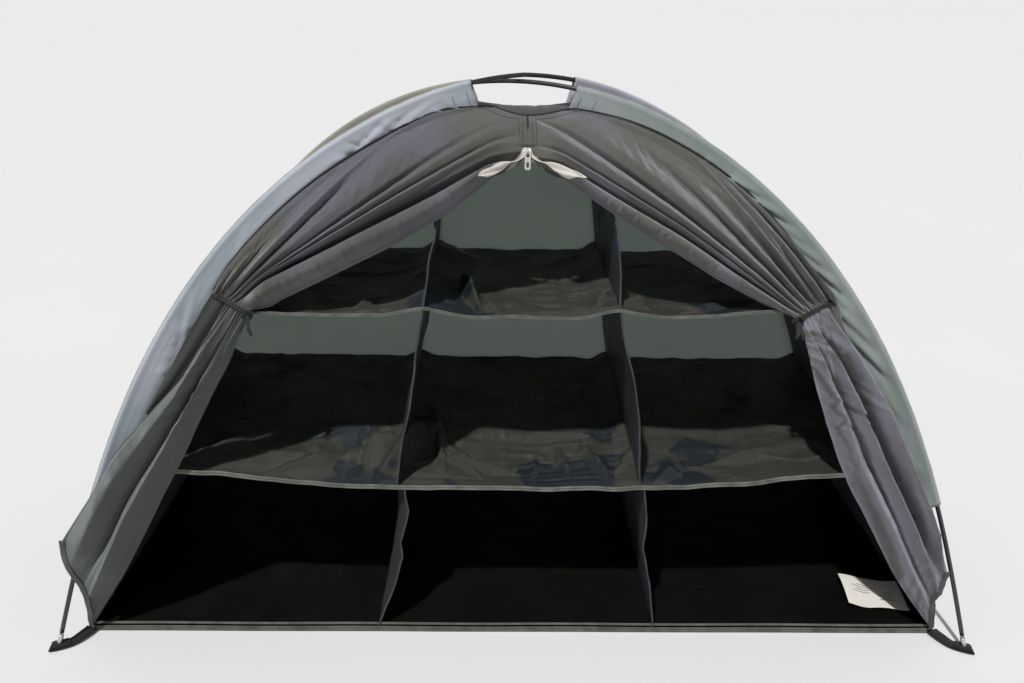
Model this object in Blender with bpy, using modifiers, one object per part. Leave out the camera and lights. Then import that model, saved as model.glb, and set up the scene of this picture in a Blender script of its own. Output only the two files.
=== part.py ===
"""Dome storage tent with nine fabric compartments.

Metres, +Z up. The door faces -Y and +X is to the right of somebody who faces the door.
The origin is the centre of the footprint, on the ground. Two flexible poles cross above the
roof. Each pole runs in two flat sleeves, sewn to the corner seams of a square-cornered tent
body, and stands with its metal tips in the eyelets of four corner straps.
"""

import math

import bmesh
import bpy
from mathutils import Matrix, Vector

# ---------------------------------------------------------------- driving dimensions
FOOT_X = 0.600            # pole feet: half width and half depth of the rectangle they stand on
FOOT_Y = 0.2536
POLE_TOP = 0.6987         # height of the lower pole's centre line at the crossing
CROSS_LIFT = 0.0083       # the other pole lies this much higher there
BEND_POWER = 1.03         # curvature of a pole grows with height to this power
POLE_RADIUS = 0.0030
POLE_STEPS = 24           # segments from crossing to foot

FLOOR_X = 0.574           # floor panel: half width and half depth
FLOOR_Y = 0.220
SLEEVE_TOP_WIDTH = 0.034  # corner seam to pole, at the crossing
SLEEVE_LOW_WIDTH = 0.045  # and from SLEEVE_LOW_Z down
SLEEVE_LOW_Z = 0.20
SLEEVE_HEM_Z = 0.196      # lower end of a sleeve
SLEEVE_TOP_R = 0.066      # its upper end, as a distance from the crossing
LOOP_RADIUS = 0.0042      # of the sleeve's fold around the pole

CLOTH = 0.0012            # thickness of the plain solids that stand for cloth
GAP = 0.0005              # between neighbouring solids
SEAM_GAP = 0.0018

SHELF_Z = (0.2275, 0.4300)
DIVIDER_X = (0.187, 0.157, 0.122, 0.104)   # at the floor, the two shelves and the roof
DIVIDER_TOP = 0.612

ZIP_X = 0.005             # the door's centre line is a little right of the tent's
ZIP_TOP = 0.613           # bottom edge of the header, where the door opens
FLAP_SLOPE = 1.76         # how fast the tied-back edge runs outward as it goes down
FLAP_LOW = 0.448
FACING_WIDTH = 0.020
TAPE_WIDTH = 0.008
TAIL_TOP = 0.425
TAIL_END = 0.015
TAIL_BULGE = 0.012
TAIL_CLOTH = 0.005

STRAP_WIDTH = 0.020
STRAP_BEYOND = 0.011      # of the pole foot
STRAP_THICK = 0.0020
FERRULE = 0.020           # metal end of a pole

FRONT, REAR, LEFT, RIGHT = -1, 1, -1, 1
CORNERS = {"front_left": (LEFT, FRONT), "front_right": (RIGHT, FRONT),
           "rear_left": (LEFT, REAR), "rear_right": (RIGHT, REAR)}


# ---------------------------------------------------------------- scene and materials
for old in list(bpy.data.objects):
    bpy.data.objects.remove(old)
tent = bpy.data.collections.new("dome_storage_tent")
cutters = bpy.data.collections.new("cutters")
for group in (tent, cutters):
    bpy.context.scene.collection.children.link(group)


def material(name, colour, roughness, metallic=0.0):
    mat = bpy.data.materials.new(name)
    mat.use_nodes = True
    shader = mat.node_tree.nodes["Principled BSDF"]
    shader.inputs["Base Color"].default_value = (*colour, 1.0)
    shader.inputs["Roughness"].default_value = roughness
    shader.inputs["Metallic"].default_value = metallic
    mat.diffuse_color = (*colour, 1.0)
    return mat


PANEL = material("panel_cloth", (0.090, 0.096, 0.100), 0.45)
SLEEVE = material("sleeve_cloth", (0.26, 0.30, 0.31), 0.55)
WALL = material("wall_cloth", (0.075, 0.095, 0.088), 0.60)
INNER = material("inner_cloth", (0.018, 0.020, 0.020), 0.35)
FLOOR = material("floor_cloth", (0.010, 0.010, 0.009), 0.50)
BINDING = material("binding_tape", (0.17, 0.18, 0.17), 0.75)
ZIP_TAPE = material("zip_tape", (0.66, 0.63, 0.57), 0.80)
LABEL = material("label_cloth", (0.70, 0.70, 0.67), 0.70)
WEBBING = material("webbing", (0.015, 0.015, 0.016), 0.80)
FIBREGLASS = material("fibreglass", (0.016, 0.016, 0.017), 0.30)
STEEL = material("steel", (0.62, 0.62, 0.60), 0.28, 1.0)


# ---------------------------------------------------------------- shape helpers
def add_object(name, data, mat, collection=tent):
    obj = bpy.data.objects.new(name, data)
    collection.objects.link(obj)
    data.materials.append(mat)
    return obj


def cloth_panel(name, rows, mat, thickness=CLOTH, origin=(0.0, 0.0, 0.0)):
    """Open sheet through the points of rows, given thickness on both sides of them."""
    pivot = Vector(origin)
    mesh = bpy.data.meshes.new(name)
    width = len(rows[0])
    points = [Vector(p) - pivot for row in rows for p in row]
    quads = [(i * width + j, i * width + j + 1, (i + 1) * width + j + 1, (i + 1) * width + j)
             for i in range(len(rows) - 1) for j in range(width - 1)]
    mesh.from_pydata(points, [], quads)
    obj = add_object(name, mesh, mat)
    obj.location = pivot
    shell = obj.modifiers.new("Thickness", "SOLIDIFY")
    shell.thickness = thickness
    shell.offset = 0.0
    return obj


def box(name, low, high, mat, bevel=0.0):
    """Axis-aligned box between two corners, its origin at its centre."""
    size = [h - l for l, h in zip(low, high)]
    mesh = bpy.data.meshes.new(name)
    build = bmesh.new()
    bmesh.ops.create_cube(build, size=1.0, matrix=Matrix.Diagonal((*size, 1.0)))
    build.to_mesh(mesh)
    build.free()
    obj = add_object(name, mesh, mat)
    obj.location = [(l + h) / 2 for l, h in zip(low, high)]
    if bevel:
        edge = obj.modifiers.new("Edges", "BEVEL")
        edge.width = bevel
        edge.segments = 2
    return obj


def turned(name, profile, mat, segments=16):
    """Body of revolution about +Z; profile is (radius, height), down its outer side. A ring's closes."""
    mesh = bpy.data.meshes.new(name)
    closed = min(r for r, z in profile) > 0.0
    edges = [(i, (i + 1) % len(profile)) for i in range(len(profile) - (0 if closed else 1))]
    mesh.from_pydata([(r, 0.0, z) for r, z in profile], edges, [])
    obj = add_object(name, mesh, mat)
    spin = obj.modifiers.new("Turn", "SCREW")
    spin.steps = spin.render_steps = segments
    spin.merge_threshold = 0.00001
    spin.use_merge_vertices = True
    spin.use_smooth_shade = True
    return obj


def lerp(a, b, t):
    return a + (b - a) * t


# ---------------------------------------------------------------- pole and seam curves
def bend(strength, steps=600):
    """Points (r, z) from crossing to ground of a pole whose curvature is strength*(z/top)^power."""
    step = 1.6 * (math.hypot(FOOT_X, FOOT_Y) + POLE_TOP) / steps
    r, z, slope = 0.0, POLE_TOP, 0.0
    points = [(r, z)]
    while z > 0.0 and len(points) <= steps:
        turn = strength * max(z / POLE_TOP, 0.0) ** BEND_POWER * step
        r += math.cos(slope + turn / 2) * step
        z -= math.sin(slope + turn / 2) * step
        slope += turn
        points.append((r, z))
    return points


def resample(points, count):
    """count+1 points at equal spacing along a polyline."""
    run = [0.0]
    for (r0, z0), (r1, z1) in zip(points, points[1:]):
        run.append(run[-1] + math.hypot(r1 - r0, z1 - z0))
    out, k = [], 0
    for i in range(count + 1):
        want = run[-1] * i / count
        while k < len(run) - 2 and run[k + 1] < want:
            k += 1
        t = (want - run[k]) / (run[k + 1] - run[k])
        out.append((lerp(points[k][0], points[k + 1][0], t), lerp(points[k][1], points[k + 1][1], t)))
    return out


def landing(points):
    """The points with the last one moved back up to the ground."""
    (r0, z0), (r1, z1) = points[-2:]
    return points[:-1] + [(lerp(r0, r1, z0 / (z0 - z1)), 0.0)]


def pole_arc():
    """Half of a pole, crossing to foot, with the strength that makes it land on its foot."""
    soft, hard = 0.4 / POLE_TOP, 4.0 / POLE_TOP
    for _ in range(60):
        middle = (soft + hard) / 2
        points = bend(middle)
        if points[-1][1] > 0 or landing(points)[-1][0] > REACH:
            soft = middle
        else:
            hard = middle
    return landing(bend(hard))


REACH = math.hypot(FOOT_X, FOOT_Y)
ARC = pole_arc()
STATIONS = resample(ARC, POLE_STEPS)


def sleeve_width(z):
    return lerp(SLEEVE_TOP_WIDTH, SLEEVE_LOW_WIDTH, min(1.0, (POLE_TOP - z) / (POLE_TOP - SLEEVE_LOW_Z)))


def seam_of(points):
    """The corner seam under a pole: its points moved inward by the sleeve's width."""
    out = []
    for i, (r, z) in enumerate(points):
        (ra, za), (rb, zb) = points[max(i - 1, 0)], points[min(i + 1, len(points) - 1)]
        length = math.hypot(rb - ra, zb - za)
        width = sleeve_width(z)
        out.append((r + width * (zb - za) / length, z - width * (rb - ra) / length))
    return out


SEAM = seam_of(ARC)


def body_half(z):
    """Half width and half depth of the tent body at a height."""
    if z < SLEEVE_LOW_Z:
        low_x, low_y = body_half(SLEEVE_LOW_Z)
        return lerp(FLOOR_X, low_x, z / SLEEVE_LOW_Z), lerp(FLOOR_Y, low_y, z / SLEEVE_LOW_Z)
    for (r0, z0), (r1, z1) in zip(SEAM, SEAM[1:]):
        if z0 >= z >= z1:
            r = lerp(r0, r1, (z0 - z) / (z0 - z1)) / REACH
            return r * FOOT_X, r * FOOT_Y
    return 0.0, 0.0


def body_rows(low, count, top_r=0.012):
    """(half width, half depth, height) up a wall, from height low to where it meets the roof."""
    upper = [(r, z) for r, z in SEAM if z > max(low, SLEEVE_LOW_Z) and r > top_r]
    rows = [(r / REACH * FOOT_X, r / REACH * FOOT_Y, z) for r, z in reversed(resample(upper, count))]
    start = [low, SLEEVE_LOW_Z / 2] if low < SLEEVE_LOW_Z / 2 else [low]
    return [(*body_half(z), z) for z in start] + rows


# ---------------------------------------------------------------- poles, tips and sleeves
def corner_point(side, end, r, z):
    return Vector((side * r / REACH * FOOT_X, end * r / REACH * FOOT_Y, z))


def lift_at(r, lifted):
    return CROSS_LIFT * max(0.0, 1.0 - 3.0 * r / REACH) if lifted else 0.0


def half_pole(side, end, lifted):
    return [corner_point(side, end, r, z + lift_at(r, lifted)) for r, z in STATIONS]


def make_pole(name, first, second, lifted):
    """Rod from the front foot over the crossing to the rear foot, between its two metal tips."""
    near = half_pole(*CORNERS[first], lifted)
    far = half_pole(*CORNERS[second], lifted)
    for half in (near, far):
        along = (half[-2] - half[-1]).normalized()
        half[-1] = half[-1] + along * (FERRULE + GAP)
    points = near[::-1] + far[1:]
    curve = bpy.data.curves.new(name, "CURVE")
    curve.dimensions = "3D"
    curve.bevel_depth = POLE_RADIUS
    curve.bevel_resolution = 2
    curve.use_fill_caps = True
    line = curve.splines.new("POLY")
    line.points.add(len(points) - 1)
    for slot, p in zip(line.points, points):
        slot.co = (*p, 1.0)
    return add_object(name, curve, FIBREGLASS)


def make_tip(name, corner):
    """Ferrule with a thin pin that stands in the strap's eyelet, in line with the pole."""
    side, end = CORNERS[corner]
    foot, above = half_pole(side, end, False)[-1:-3:-1]
    tip = turned(name, [(0.0, FERRULE), (0.0026, FERRULE), (0.0032, FERRULE - 0.0008),
                        (0.0032, 0.0062), (0.0021, 0.0052), (0.0021, 0.0022), (0.0, 0.0012)], STEEL, 14)
    tip.location = foot
    tip.rotation_euler = (above - foot).to_track_quat("Z", "Y").to_euler()
    return tip


def make_sleeve(name, corner, lifted):
    """Flat tube of cloth: a strip folded around the pole, its two edges sewn to the corner seam."""
    side, end = CORNERS[corner]
    poles = half_pole(side, end, lifted)
    seams = seam_of(STATIONS)
    across = Vector((-end * FOOT_Y, side * FOOT_X, 0.0)).normalized()
    rows = []
    for i, (r, z) in enumerate(STATIONS):
        if r < SLEEVE_TOP_R or z < SLEEVE_HEM_Z - 0.02:
            continue
        seam = corner_point(side, end, *seams[i])
        outward = poles[i] - seam
        width = outward.length
        outward.normalize()
        fold = [(LOOP_RADIUS * math.cos(a), LOOP_RADIUS * math.sin(a))
                for a in (math.radians(-150 + 50 * k) for k in range(7))]
        path = [(0.0025 - width, -0.0012), (-0.012, -0.0012)] + fold
        path += [(-0.012, 0.0012), (0.0025 - width, 0.0012)]
        rows.append([poles[i] + outward * u + across * v for u, v in path])
    return cloth_panel(name, rows, SLEEVE, 0.0008)


make_pole("pole_front_left_to_rear_right", "front_left", "rear_right", True)
make_pole("pole_front_right_to_rear_left", "front_right", "rear_left", False)
for corner_name in CORNERS:
    make_tip("pole_tip_" + corner_name, corner_name)
    make_sleeve("pole_sleeve_" + corner_name, corner_name, corner_name in ("front_left", "rear_right"))


# ---------------------------------------------------------------- corner straps and eyelets
def make_strap(corner):
    """Flat webbing from the floor's corner to just beyond the pole foot, with a hole for the tip."""
    side, end = CORNERS[corner]
    start = Vector((side * FLOOR_X, end * FLOOR_Y, 0.0))
    foot = Vector((side * FOOT_X, end * FOOT_Y, 0.0))
    run = foot - start
    length = run.length + STRAP_BEYOND - 0.001
    along = run.normalized()
    strap = box("corner_strap_" + corner, (-length / 2, -STRAP_WIDTH / 2, -STRAP_THICK / 2),
                (length / 2, STRAP_WIDTH / 2, STRAP_THICK / 2), WEBBING)
    strap.location = start + along * (0.001 + length / 2) + Vector((0.0, 0.0, STRAP_THICK / 2))
    strap.rotation_euler = (0.0, 0.0, math.atan2(along.y, along.x))
    punch = turned("punch_" + corner, [(0.0, 0.004), (0.0042, 0.004), (0.0042, -0.004), (0.0, -0.004)],
                   STEEL, 14)
    punch.location = foot
    tent.objects.unlink(punch)
    cutters.objects.link(punch)
    punch.hide_render = True
    punch.display_type = "WIRE"
    cut = strap.modifiers.new("Hole", "BOOLEAN")
    cut.operation = "DIFFERENCE"
    cut.object = punch
    ring = turned("eyelet_" + corner, [(0.0036, 0.0010), (0.0062, 0.0010), (0.0066, 0.0004), (0.0066, 0.0),
                                       (0.0036, 0.0)], STEEL, 18)
    ring.location = foot + Vector((0.0, 0.0, STRAP_THICK + 0.0003))


for corner_name in CORNERS:
    make_strap(corner_name)


# ---------------------------------------------------------------- floor, walls and roof patch
box("floor_panel", (-FLOOR_X, -FLOOR_Y, 0.0), (FLOOR_X, FLOOR_Y, CLOTH), FLOOR)
box("floor_front_binding", (0.012 - FLOOR_X, -FLOOR_Y - 0.0026, 0.0),
    (FLOOR_X - 0.012, -FLOOR_Y - GAP, 0.0075), BINDING)

WALL_ROWS = body_rows(CLOTH + GAP, 14)
cloth_panel("rear_wall", [[(x * s - s * SEAM_GAP, y, z) for s in (LEFT, RIGHT)]
                          for x, y, z in WALL_ROWS], WALL)
for side_name, s in (("left", LEFT), ("right", RIGHT)):
    cloth_panel(side_name + "_wall", [[(s * x, t * (y - SEAM_GAP), z) for t in (FRONT, REAR)]
                                      for x, y, z in WALL_ROWS], WALL)

roof_z = WALL_ROWS[-1][2]
box("roof_patch", (-0.045, -0.019, roof_z + 0.0022), (0.045, 0.019, roof_z + 0.0032), PANEL)


# ---------------------------------------------------------------- header and tied-back door
def front_point(x, z, out=0.0):
    """Point on the front of the tent body, or out in front of it."""
    half_depth = body_half(z)[1]
    above = body_half(z + 0.004)[1]
    slope = Vector((0.0, half_depth - above, 0.004)).normalized()
    normal = Vector((0.0, -slope.z, slope.y))
    return Vector((x, -half_depth, z)) + normal * out


def door_edge(side, z):
    """x of the tied-back edge of the door at a height; the zip's offset fades out on the way down."""
    down = (ZIP_TOP - z) / (ZIP_TOP - FLAP_LOW)
    return ZIP_X * (1.0 - down) + side * FLAP_SLOPE * (ZIP_TOP + 0.013 - z)


HEADER_ROWS = body_rows(ZIP_TOP, 7)
for side_name, s in (("left", LEFT), ("right", RIGHT)):
    header = [[(ZIP_X + s * GAP, -y, z), (s * (max(x, 0.0085 + abs(ZIP_X)) - SEAM_GAP), -y, z)]
              for x, y, z in HEADER_ROWS]
    cloth_panel("header_" + side_name, header, PANEL)

    edge = [(door_edge(s, z), z) for z in (lerp(ZIP_TOP - 0.0015, FLAP_LOW, i / 7) for i in range(8))]
    cloth_panel("door_flap_" + side_name,
                [[front_point(x, z), front_point(s * (body_half(z)[0] - SEAM_GAP), z)] for x, z in edge],
                PANEL, 0.002)
    cloth_panel("door_facing_" + side_name,
                [[front_point(x - s * FACING_WIDTH, z), front_point(x - s * GAP, z)]
                 for x, z in edge], PANEL)
    folded = FACING_WIDTH + GAP
    cloth_panel("zip_tape_" + side_name,
                [[front_point(door_edge(s, z) - s * (folded + TAPE_WIDTH), z),
                  front_point(door_edge(s, z) - s * folded, z)]
                 for z in (ZIP_TOP - 0.008, ZIP_TOP - 0.017, ZIP_TOP - 0.026)], ZIP_TAPE)

band = [front_point(ZIP_X, z, 0.0016) for z in (ZIP_TOP + 0.022, 0.640, 0.650, 0.657)]
cloth_panel("header_seam_band", [[p + Vector((-0.011, 0.0, 0.0)), p + Vector((0.011, 0.0, 0.0))]
                                 for p in band], PANEL, 0.001)


# ---------------------------------------------------------------- lower door flaps, tied at the side
def tail_rows(side, tie_inner, tie_outer, free_corner):
    """Cloth that fans out from the tie: inner edge to the floor corner, outer edge to a free corner."""
    foot_inner = Vector((side * 0.560, -0.2255, TAIL_END))
    foot_outer = Vector((side * 0.556, -0.2310, TAIL_END))
    heights = [TAIL_TOP, 0.36, 0.30, 0.24, 0.20, free_corner.z, 0.11, 0.06, TAIL_END]
    rows = []
    for z in heights:
        down = (TAIL_TOP - z) / (TAIL_TOP - TAIL_END)
        inner = tie_inner.lerp(foot_inner, down)
        if z >= free_corner.z:
            outer = tie_outer.lerp(free_corner, (TAIL_TOP - z) / (TAIL_TOP - free_corner.z))
        else:
            outer = free_corner.lerp(foot_outer, (free_corner.z - z) / (free_corner.z - TAIL_END))
        forward = Vector((0.0, -TAIL_BULGE * math.sin(math.pi * down), 0.0))
        rows.append([inner + forward, inner.lerp(outer, 0.5) + forward, outer + forward])
    return rows


for side_name, s, inner_x, outer_x, corner_x, corner_z in (
        ("left", LEFT, 0.336, 0.380, 0.570, 0.158), ("right", RIGHT, 0.346, 0.384, 0.552, 0.128)):
    top_in = Vector((s * inner_x, -0.1760, TAIL_TOP))
    top_out = Vector((s * outer_x, -0.1840, TAIL_TOP))
    free = Vector((s * corner_x, -0.2460, corner_z))
    cloth_panel("door_tail_" + side_name, tail_rows(s, top_in, top_out, free), PANEL, TAIL_CLOTH, top_in)

    middle = Vector((s * (inner_x + outer_x) / 2, -0.1745, 0.4365))
    gather = box("door_gather_" + side_name, (-0.020, -0.0055, -0.0095), (0.020, 0.0055, 0.0095), PANEL, 0.003)
    gather.location = middle
    cloth_panel("tie_band_" + side_name,
                [[middle + Vector((0.023 * u, -0.0075 - 0.003 * (1 - u * u), w)) for u in (-1, -0.5, 0, 0.5, 1)]
                 for w in (-0.005, 0.005)], WEBBING, 0.001)
    knot = bpy.data.meshes.new("tie_knot_" + side_name)
    build = bmesh.new()
    bmesh.ops.create_uvsphere(build, u_segments=10, v_segments=7, radius=1.0,
                              matrix=Matrix.Diagonal((0.0078, 0.0045, 0.0065, 1.0)))
    build.to_mesh(knot)
    build.free()
    knot_obj = add_object(knot.name, knot, WEBBING)
    knot_obj.location = (s * (inner_x + 0.001), -0.1925, 0.4330)
    tail = cloth_panel("tie_tail_" + side_name,
                       [[(s * (inner_x + 0.001) + dx, -0.1925 - 0.0015 * k, 0.4258 - 0.009 * k)
                         for dx in (-0.004, 0.004)] for k in range(4)],
                       WEBBING, 0.0010, (s * (inner_x + 0.001), -0.1925, 0.4265))


# ---------------------------------------------------------------- zip slider and puller
ZIP_TILT = math.radians(45)
ZIP_SEAT = front_point(ZIP_X, ZIP_TOP + 0.006, 0.0012)
HINGE_IN = Vector((0.0, -0.0017, 0.0064))      # puller axis, in the slider's own frame


def outline_plate(name, loops, thickness, mat):
    """Flat plate in its own XY plane from an outline and its holes."""
    curve = bpy.data.curves.new(name, "CURVE")
    curve.dimensions = "2D"
    curve.fill_mode = "BOTH"
    curve.extrude = thickness / 2
    for loop in loops:
        line = curve.splines.new("POLY")
        line.points.add(len(loop) - 1)
        for slot, (u, v) in zip(line.points, loop):
            slot.co = (u, v, 0.0, 1.0)
        line.use_cyclic_u = True
    return add_object(name, curve, mat)


def rounded(width, height, centre, radius, steps=3):
    """Outline of a rectangle with round corners, counter-clockwise."""
    loop = []
    for k, (sx, sy) in enumerate(((1, -1), (1, 1), (-1, 1), (-1, -1))):
        for i in range(steps + 1):
            a = math.radians(-90 + 90 * k + 90 * i / steps)
            loop.append((centre[0] + sx * (width / 2 - radius) + radius * math.cos(a),
                         centre[1] + sy * (height / 2 - radius) + radius * math.sin(a)))
    return loop


def make_slider():
    """Side outline of slider and bridge with its window, widened at the base into the two wings."""
    side = [(0.0042, 0.0004), (0.0042, 0.0034), (0.0030, 0.0038), (0.0030, 0.0070), (0.0018, 0.0085),
            (-0.0026, 0.0085), (-0.0035, 0.0076), (-0.0035, 0.0004)]
    window = [(0.0018, 0.0040), (0.0018, 0.0068), (0.0012, 0.0076), (-0.0024, 0.0076),
              (-0.0029, 0.0072), (-0.0029, 0.0040)]
    bridge = outline_plate("zip_bridge", [side[::-1], window], 0.0022, STEEL)
    bridge.rotation_euler = (math.radians(90), 0.0, math.radians(90))
    bpy.context.view_layer.update()
    mesh = bpy.data.meshes.new_from_object(bridge.evaluated_get(bpy.context.evaluated_depsgraph_get()))
    weld = bmesh.new()
    weld.from_mesh(mesh)
    bmesh.ops.remove_doubles(weld, verts=weld.verts, dist=0.00001)
    bmesh.ops.transform(weld, matrix=bridge.matrix_world, verts=weld.verts)
    weld.to_mesh(mesh)
    weld.free()
    bpy.data.objects.remove(bridge)
    core = bpy.data.objects.new("zip_bridge_solid", mesh)
    cutters.objects.link(core)
    core.hide_render = True
    core.display_type = "WIRE"
    body = box("zip_slider", (-0.0040, -0.0036, 0.0), (0.0040, 0.0045, 0.0036), STEEL)
    body.data.transform(Matrix.Translation(body.location))
    body.location = (0.0, 0.0, 0.0)
    join = body.modifiers.new("Bridge", "BOOLEAN")
    join.operation = "UNION"
    join.object = core
    pose = Matrix.Translation(ZIP_SEAT) @ Matrix.Rotation(ZIP_TILT, 4, "X")
    body.matrix_world = pose
    core.matrix_world = pose
    return pose


SLIDER_POSE = make_slider()
puller = outline_plate("zip_puller", [rounded(0.0076, 0.0230, (0.0, -0.0107), 0.0024),
                                      rounded(0.0036, 0.0056, (0.0, -0.0036), 0.0008)[::-1],
                                      rounded(0.0034, 0.0070, (0.0, -0.0160), 0.0016)[::-1]], 0.0009, STEEL)
puller.location = SLIDER_POSE @ HINGE_IN
puller.rotation_euler = (math.radians(90), 0.0, 0.0)


# ---------------------------------------------------------------- shelves, dividers and label
def make_shelf(name, z):
    half_x, half_y = body_half(z)
    low = (-half_x + 0.003, -half_y + 0.003, z - CLOTH / 2)
    high = (half_x - 0.003, half_y - 0.003, z + CLOTH / 2)
    box(name, low, high, INNER)
    box(name + "_binding", (low[0] + 0.004, low[1] - 0.0024, z - 0.0035),
        (high[0] - 0.004, low[1] - GAP, z + 0.0035), BINDING)


def make_divider(name, side, low, high, low_x, high_x):
    """Upright cloth from a shelf to the one above, front and rear edges following the body."""
    rows = []
    for i in range(5):
        z = lerp(low, high, i / 4)
        depth = body_half(z)[1] - 0.0045
        x = side * lerp(low_x, high_x, i / 4)
        rows.append([(x, -depth, z), (x, depth, z)])
    cloth_panel(name, rows, INNER)


make_shelf("shelf_lower", SHELF_Z[0])
make_shelf("shelf_upper", SHELF_Z[1])
LEVELS = [CLOTH, SHELF_Z[0], SHELF_Z[1], DIVIDER_TOP]
for side_name, s in (("left", LEFT), ("right", RIGHT)):
    for tier, tier_name in enumerate(("lower", "middle", "upper")):
        make_divider("divider_%s_%s" % (tier_name, side_name), s, LEVELS[tier] + 0.0012,
                     LEVELS[tier + 1] - 0.0012, DIVIDER_X[tier], DIVIDER_X[tier + 1])

label_edge = Vector((0.560, -0.160, 0.0032))
cloth_panel("care_label", [[label_edge + Vector((-dx, dy, 0.0)) for dx in (0.0, 0.035, 0.070)]
                           for dy in (-0.028, 0.028)], LABEL, 0.0007, label_edge)
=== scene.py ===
"""Visual model of the dome storage tent: cloth, seams, stitching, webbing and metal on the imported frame.

Metres, +Z up, door towards -Y. Cloth shapes are written as grids of points. The front of the tent is a
surface that bends in one direction only, so the door is laid out on it unrolled: x across, and the
distance up the surface from the floor ("rise").
"""
import math

import bpy
import numpy as np
from mathutils import Matrix, Vector, noise


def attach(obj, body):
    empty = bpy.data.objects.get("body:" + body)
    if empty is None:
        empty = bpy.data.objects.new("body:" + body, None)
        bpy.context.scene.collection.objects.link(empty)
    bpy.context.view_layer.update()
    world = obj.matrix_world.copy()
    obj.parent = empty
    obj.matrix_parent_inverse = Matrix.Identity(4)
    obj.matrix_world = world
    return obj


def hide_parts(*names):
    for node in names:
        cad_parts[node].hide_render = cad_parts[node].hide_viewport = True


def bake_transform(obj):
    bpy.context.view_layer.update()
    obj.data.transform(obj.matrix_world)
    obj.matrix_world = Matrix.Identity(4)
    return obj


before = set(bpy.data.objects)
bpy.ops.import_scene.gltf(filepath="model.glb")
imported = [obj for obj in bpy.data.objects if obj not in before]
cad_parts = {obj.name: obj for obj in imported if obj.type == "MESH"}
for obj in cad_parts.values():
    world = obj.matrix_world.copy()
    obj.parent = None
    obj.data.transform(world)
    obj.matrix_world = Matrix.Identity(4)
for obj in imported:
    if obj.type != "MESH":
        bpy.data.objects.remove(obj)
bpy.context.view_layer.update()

# ---- the frame's driving dimensions
FOOT_X, FOOT_Y = 0.6, 0.2536
POLE_TOP, CROSS_LIFT, BEND_POWER, POLE_RADIUS = 0.6987, 0.0083, 1.03, 0.0029
FLOOR_X, FLOOR_Y = 0.574, 0.22
SLEEVE_TOP_WIDTH, SLEEVE_LOW_WIDTH, SLEEVE_LOW_Z = 0.034, 0.045, 0.2
SHELF_Z = (0.2275, 0.43)
DIVIDER_X = (0.187, 0.157, 0.122, 0.104)
ZIP_X, ZIP_TOP, HEADER_TOP = 0.005, 0.613, 0.6535
REACH = math.hypot(FOOT_X, FOOT_Y)
LEFT, RIGHT, FRONT, REAR = -1, 1, -1, 1
SIDES = {"left": LEFT, "right": RIGHT}


# ---- small maths
def lerp(a, b, t):
    return a + (b - a) * t


def smooth(t):
    t = np.clip(t, 0.0, 1.0)
    return t * t * (3 - 2 * t)


def hump(x, centre, width):
    return np.exp(-((x - centre) / width) ** 2)


def arch(t):
    """0 at both ends, 1 in the middle."""
    return np.sin(np.pi * t)


def unit(count):
    return np.linspace(0, 1, count)


def points_of(*parts):
    """Points from their coordinates, each an array or one number."""
    return np.stack(np.broadcast_arrays(*parts), axis=-1)


def lengths(points, axis=0):
    """Lengths of the steps between neighbouring points."""
    return np.linalg.norm(np.diff(points, axis=axis), axis=-1)


def arc_length(points):
    return np.concatenate([[0.0], np.cumsum(lengths(points))])


def spaced(points, where):
    """Points of a polyline at the given fractions of its length."""
    run = arc_length(points)
    where = np.asarray(where) * run[-1]
    return points_of(*(np.interp(where, run, column) for column in points.T))


def rounded(points, count):
    """A polyline's corners rounded off, then evenly spaced points along it."""
    line = spaced(points, unit(240))
    for _ in range(60):
        line[1:-1] += 0.45 * (line[:-2] + line[2:] - 2 * line[1:-1])
    return spaced(line, unit(count))


def direction(points):
    tangent = np.gradient(points, axis=0)
    return tangent / np.linalg.norm(tangent, axis=1, keepdims=True)


def ripple(points, scale, seed, octaves=3):
    """Smooth noise from -1 to 1 at each point of a grid; scale is its size in metres."""
    flat = np.asarray(points, float).reshape(-1, np.shape(points)[-1])
    if flat.shape[1] == 2:
        flat = np.column_stack([flat, np.zeros(len(flat))])
    shift = Vector((seed * 7.31, seed * 3.17, seed))
    values = [noise.fractal(Vector(p) + shift, 0.9, 2.0, octaves) for p in flat / np.resize(scale, 3)]
    return np.array(values).reshape(np.shape(points)[:-1])


# ---- curves: pole, corner seam, body profile
def bend(strength, steps=900):
    """Pole from its crossing to the ground; its curvature grows with height."""
    step = 1.6 * (REACH + POLE_TOP) / steps
    r, z, slope, points = 0.0, POLE_TOP, 0.0, [(0.0, POLE_TOP)]
    while z > 0.0 and len(points) <= steps:
        turn = strength * max(z / POLE_TOP, 0.0) ** BEND_POWER * step
        r += math.cos(slope + turn / 2) * step
        z -= math.sin(slope + turn / 2) * step
        slope += turn
        points.append((r, z))
    (r0, z0), (r1, z1) = points[-2:]
    landed = z1 <= 0.0
    if landed:
        points[-1] = (r0 + (r1 - r0) * z0 / (z0 - z1), 0.0)
    return np.array(points), landed


def pole_arc():
    soft, hard = 0.4 / POLE_TOP, 4.0 / POLE_TOP
    for _ in range(50):
        middle = (soft + hard) / 2
        points, landed = bend(middle)
        if landed and points[-1, 0] <= REACH:
            hard = middle
        else:
            soft = middle
    return bend(hard)[0]


POLE = spaced(pole_arc(), unit(401))  # (r, z), crossing to foot
ALONG = direction(POLE)
WIDTH = np.interp(POLE[:, 1], [SLEEVE_LOW_Z, POLE_TOP], [SLEEVE_LOW_WIDTH, SLEEVE_TOP_WIDTH])
SEAM = POLE + points_of(ALONG[:, 1], -ALONG[:, 0]) * WIDTH[:, None]


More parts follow.
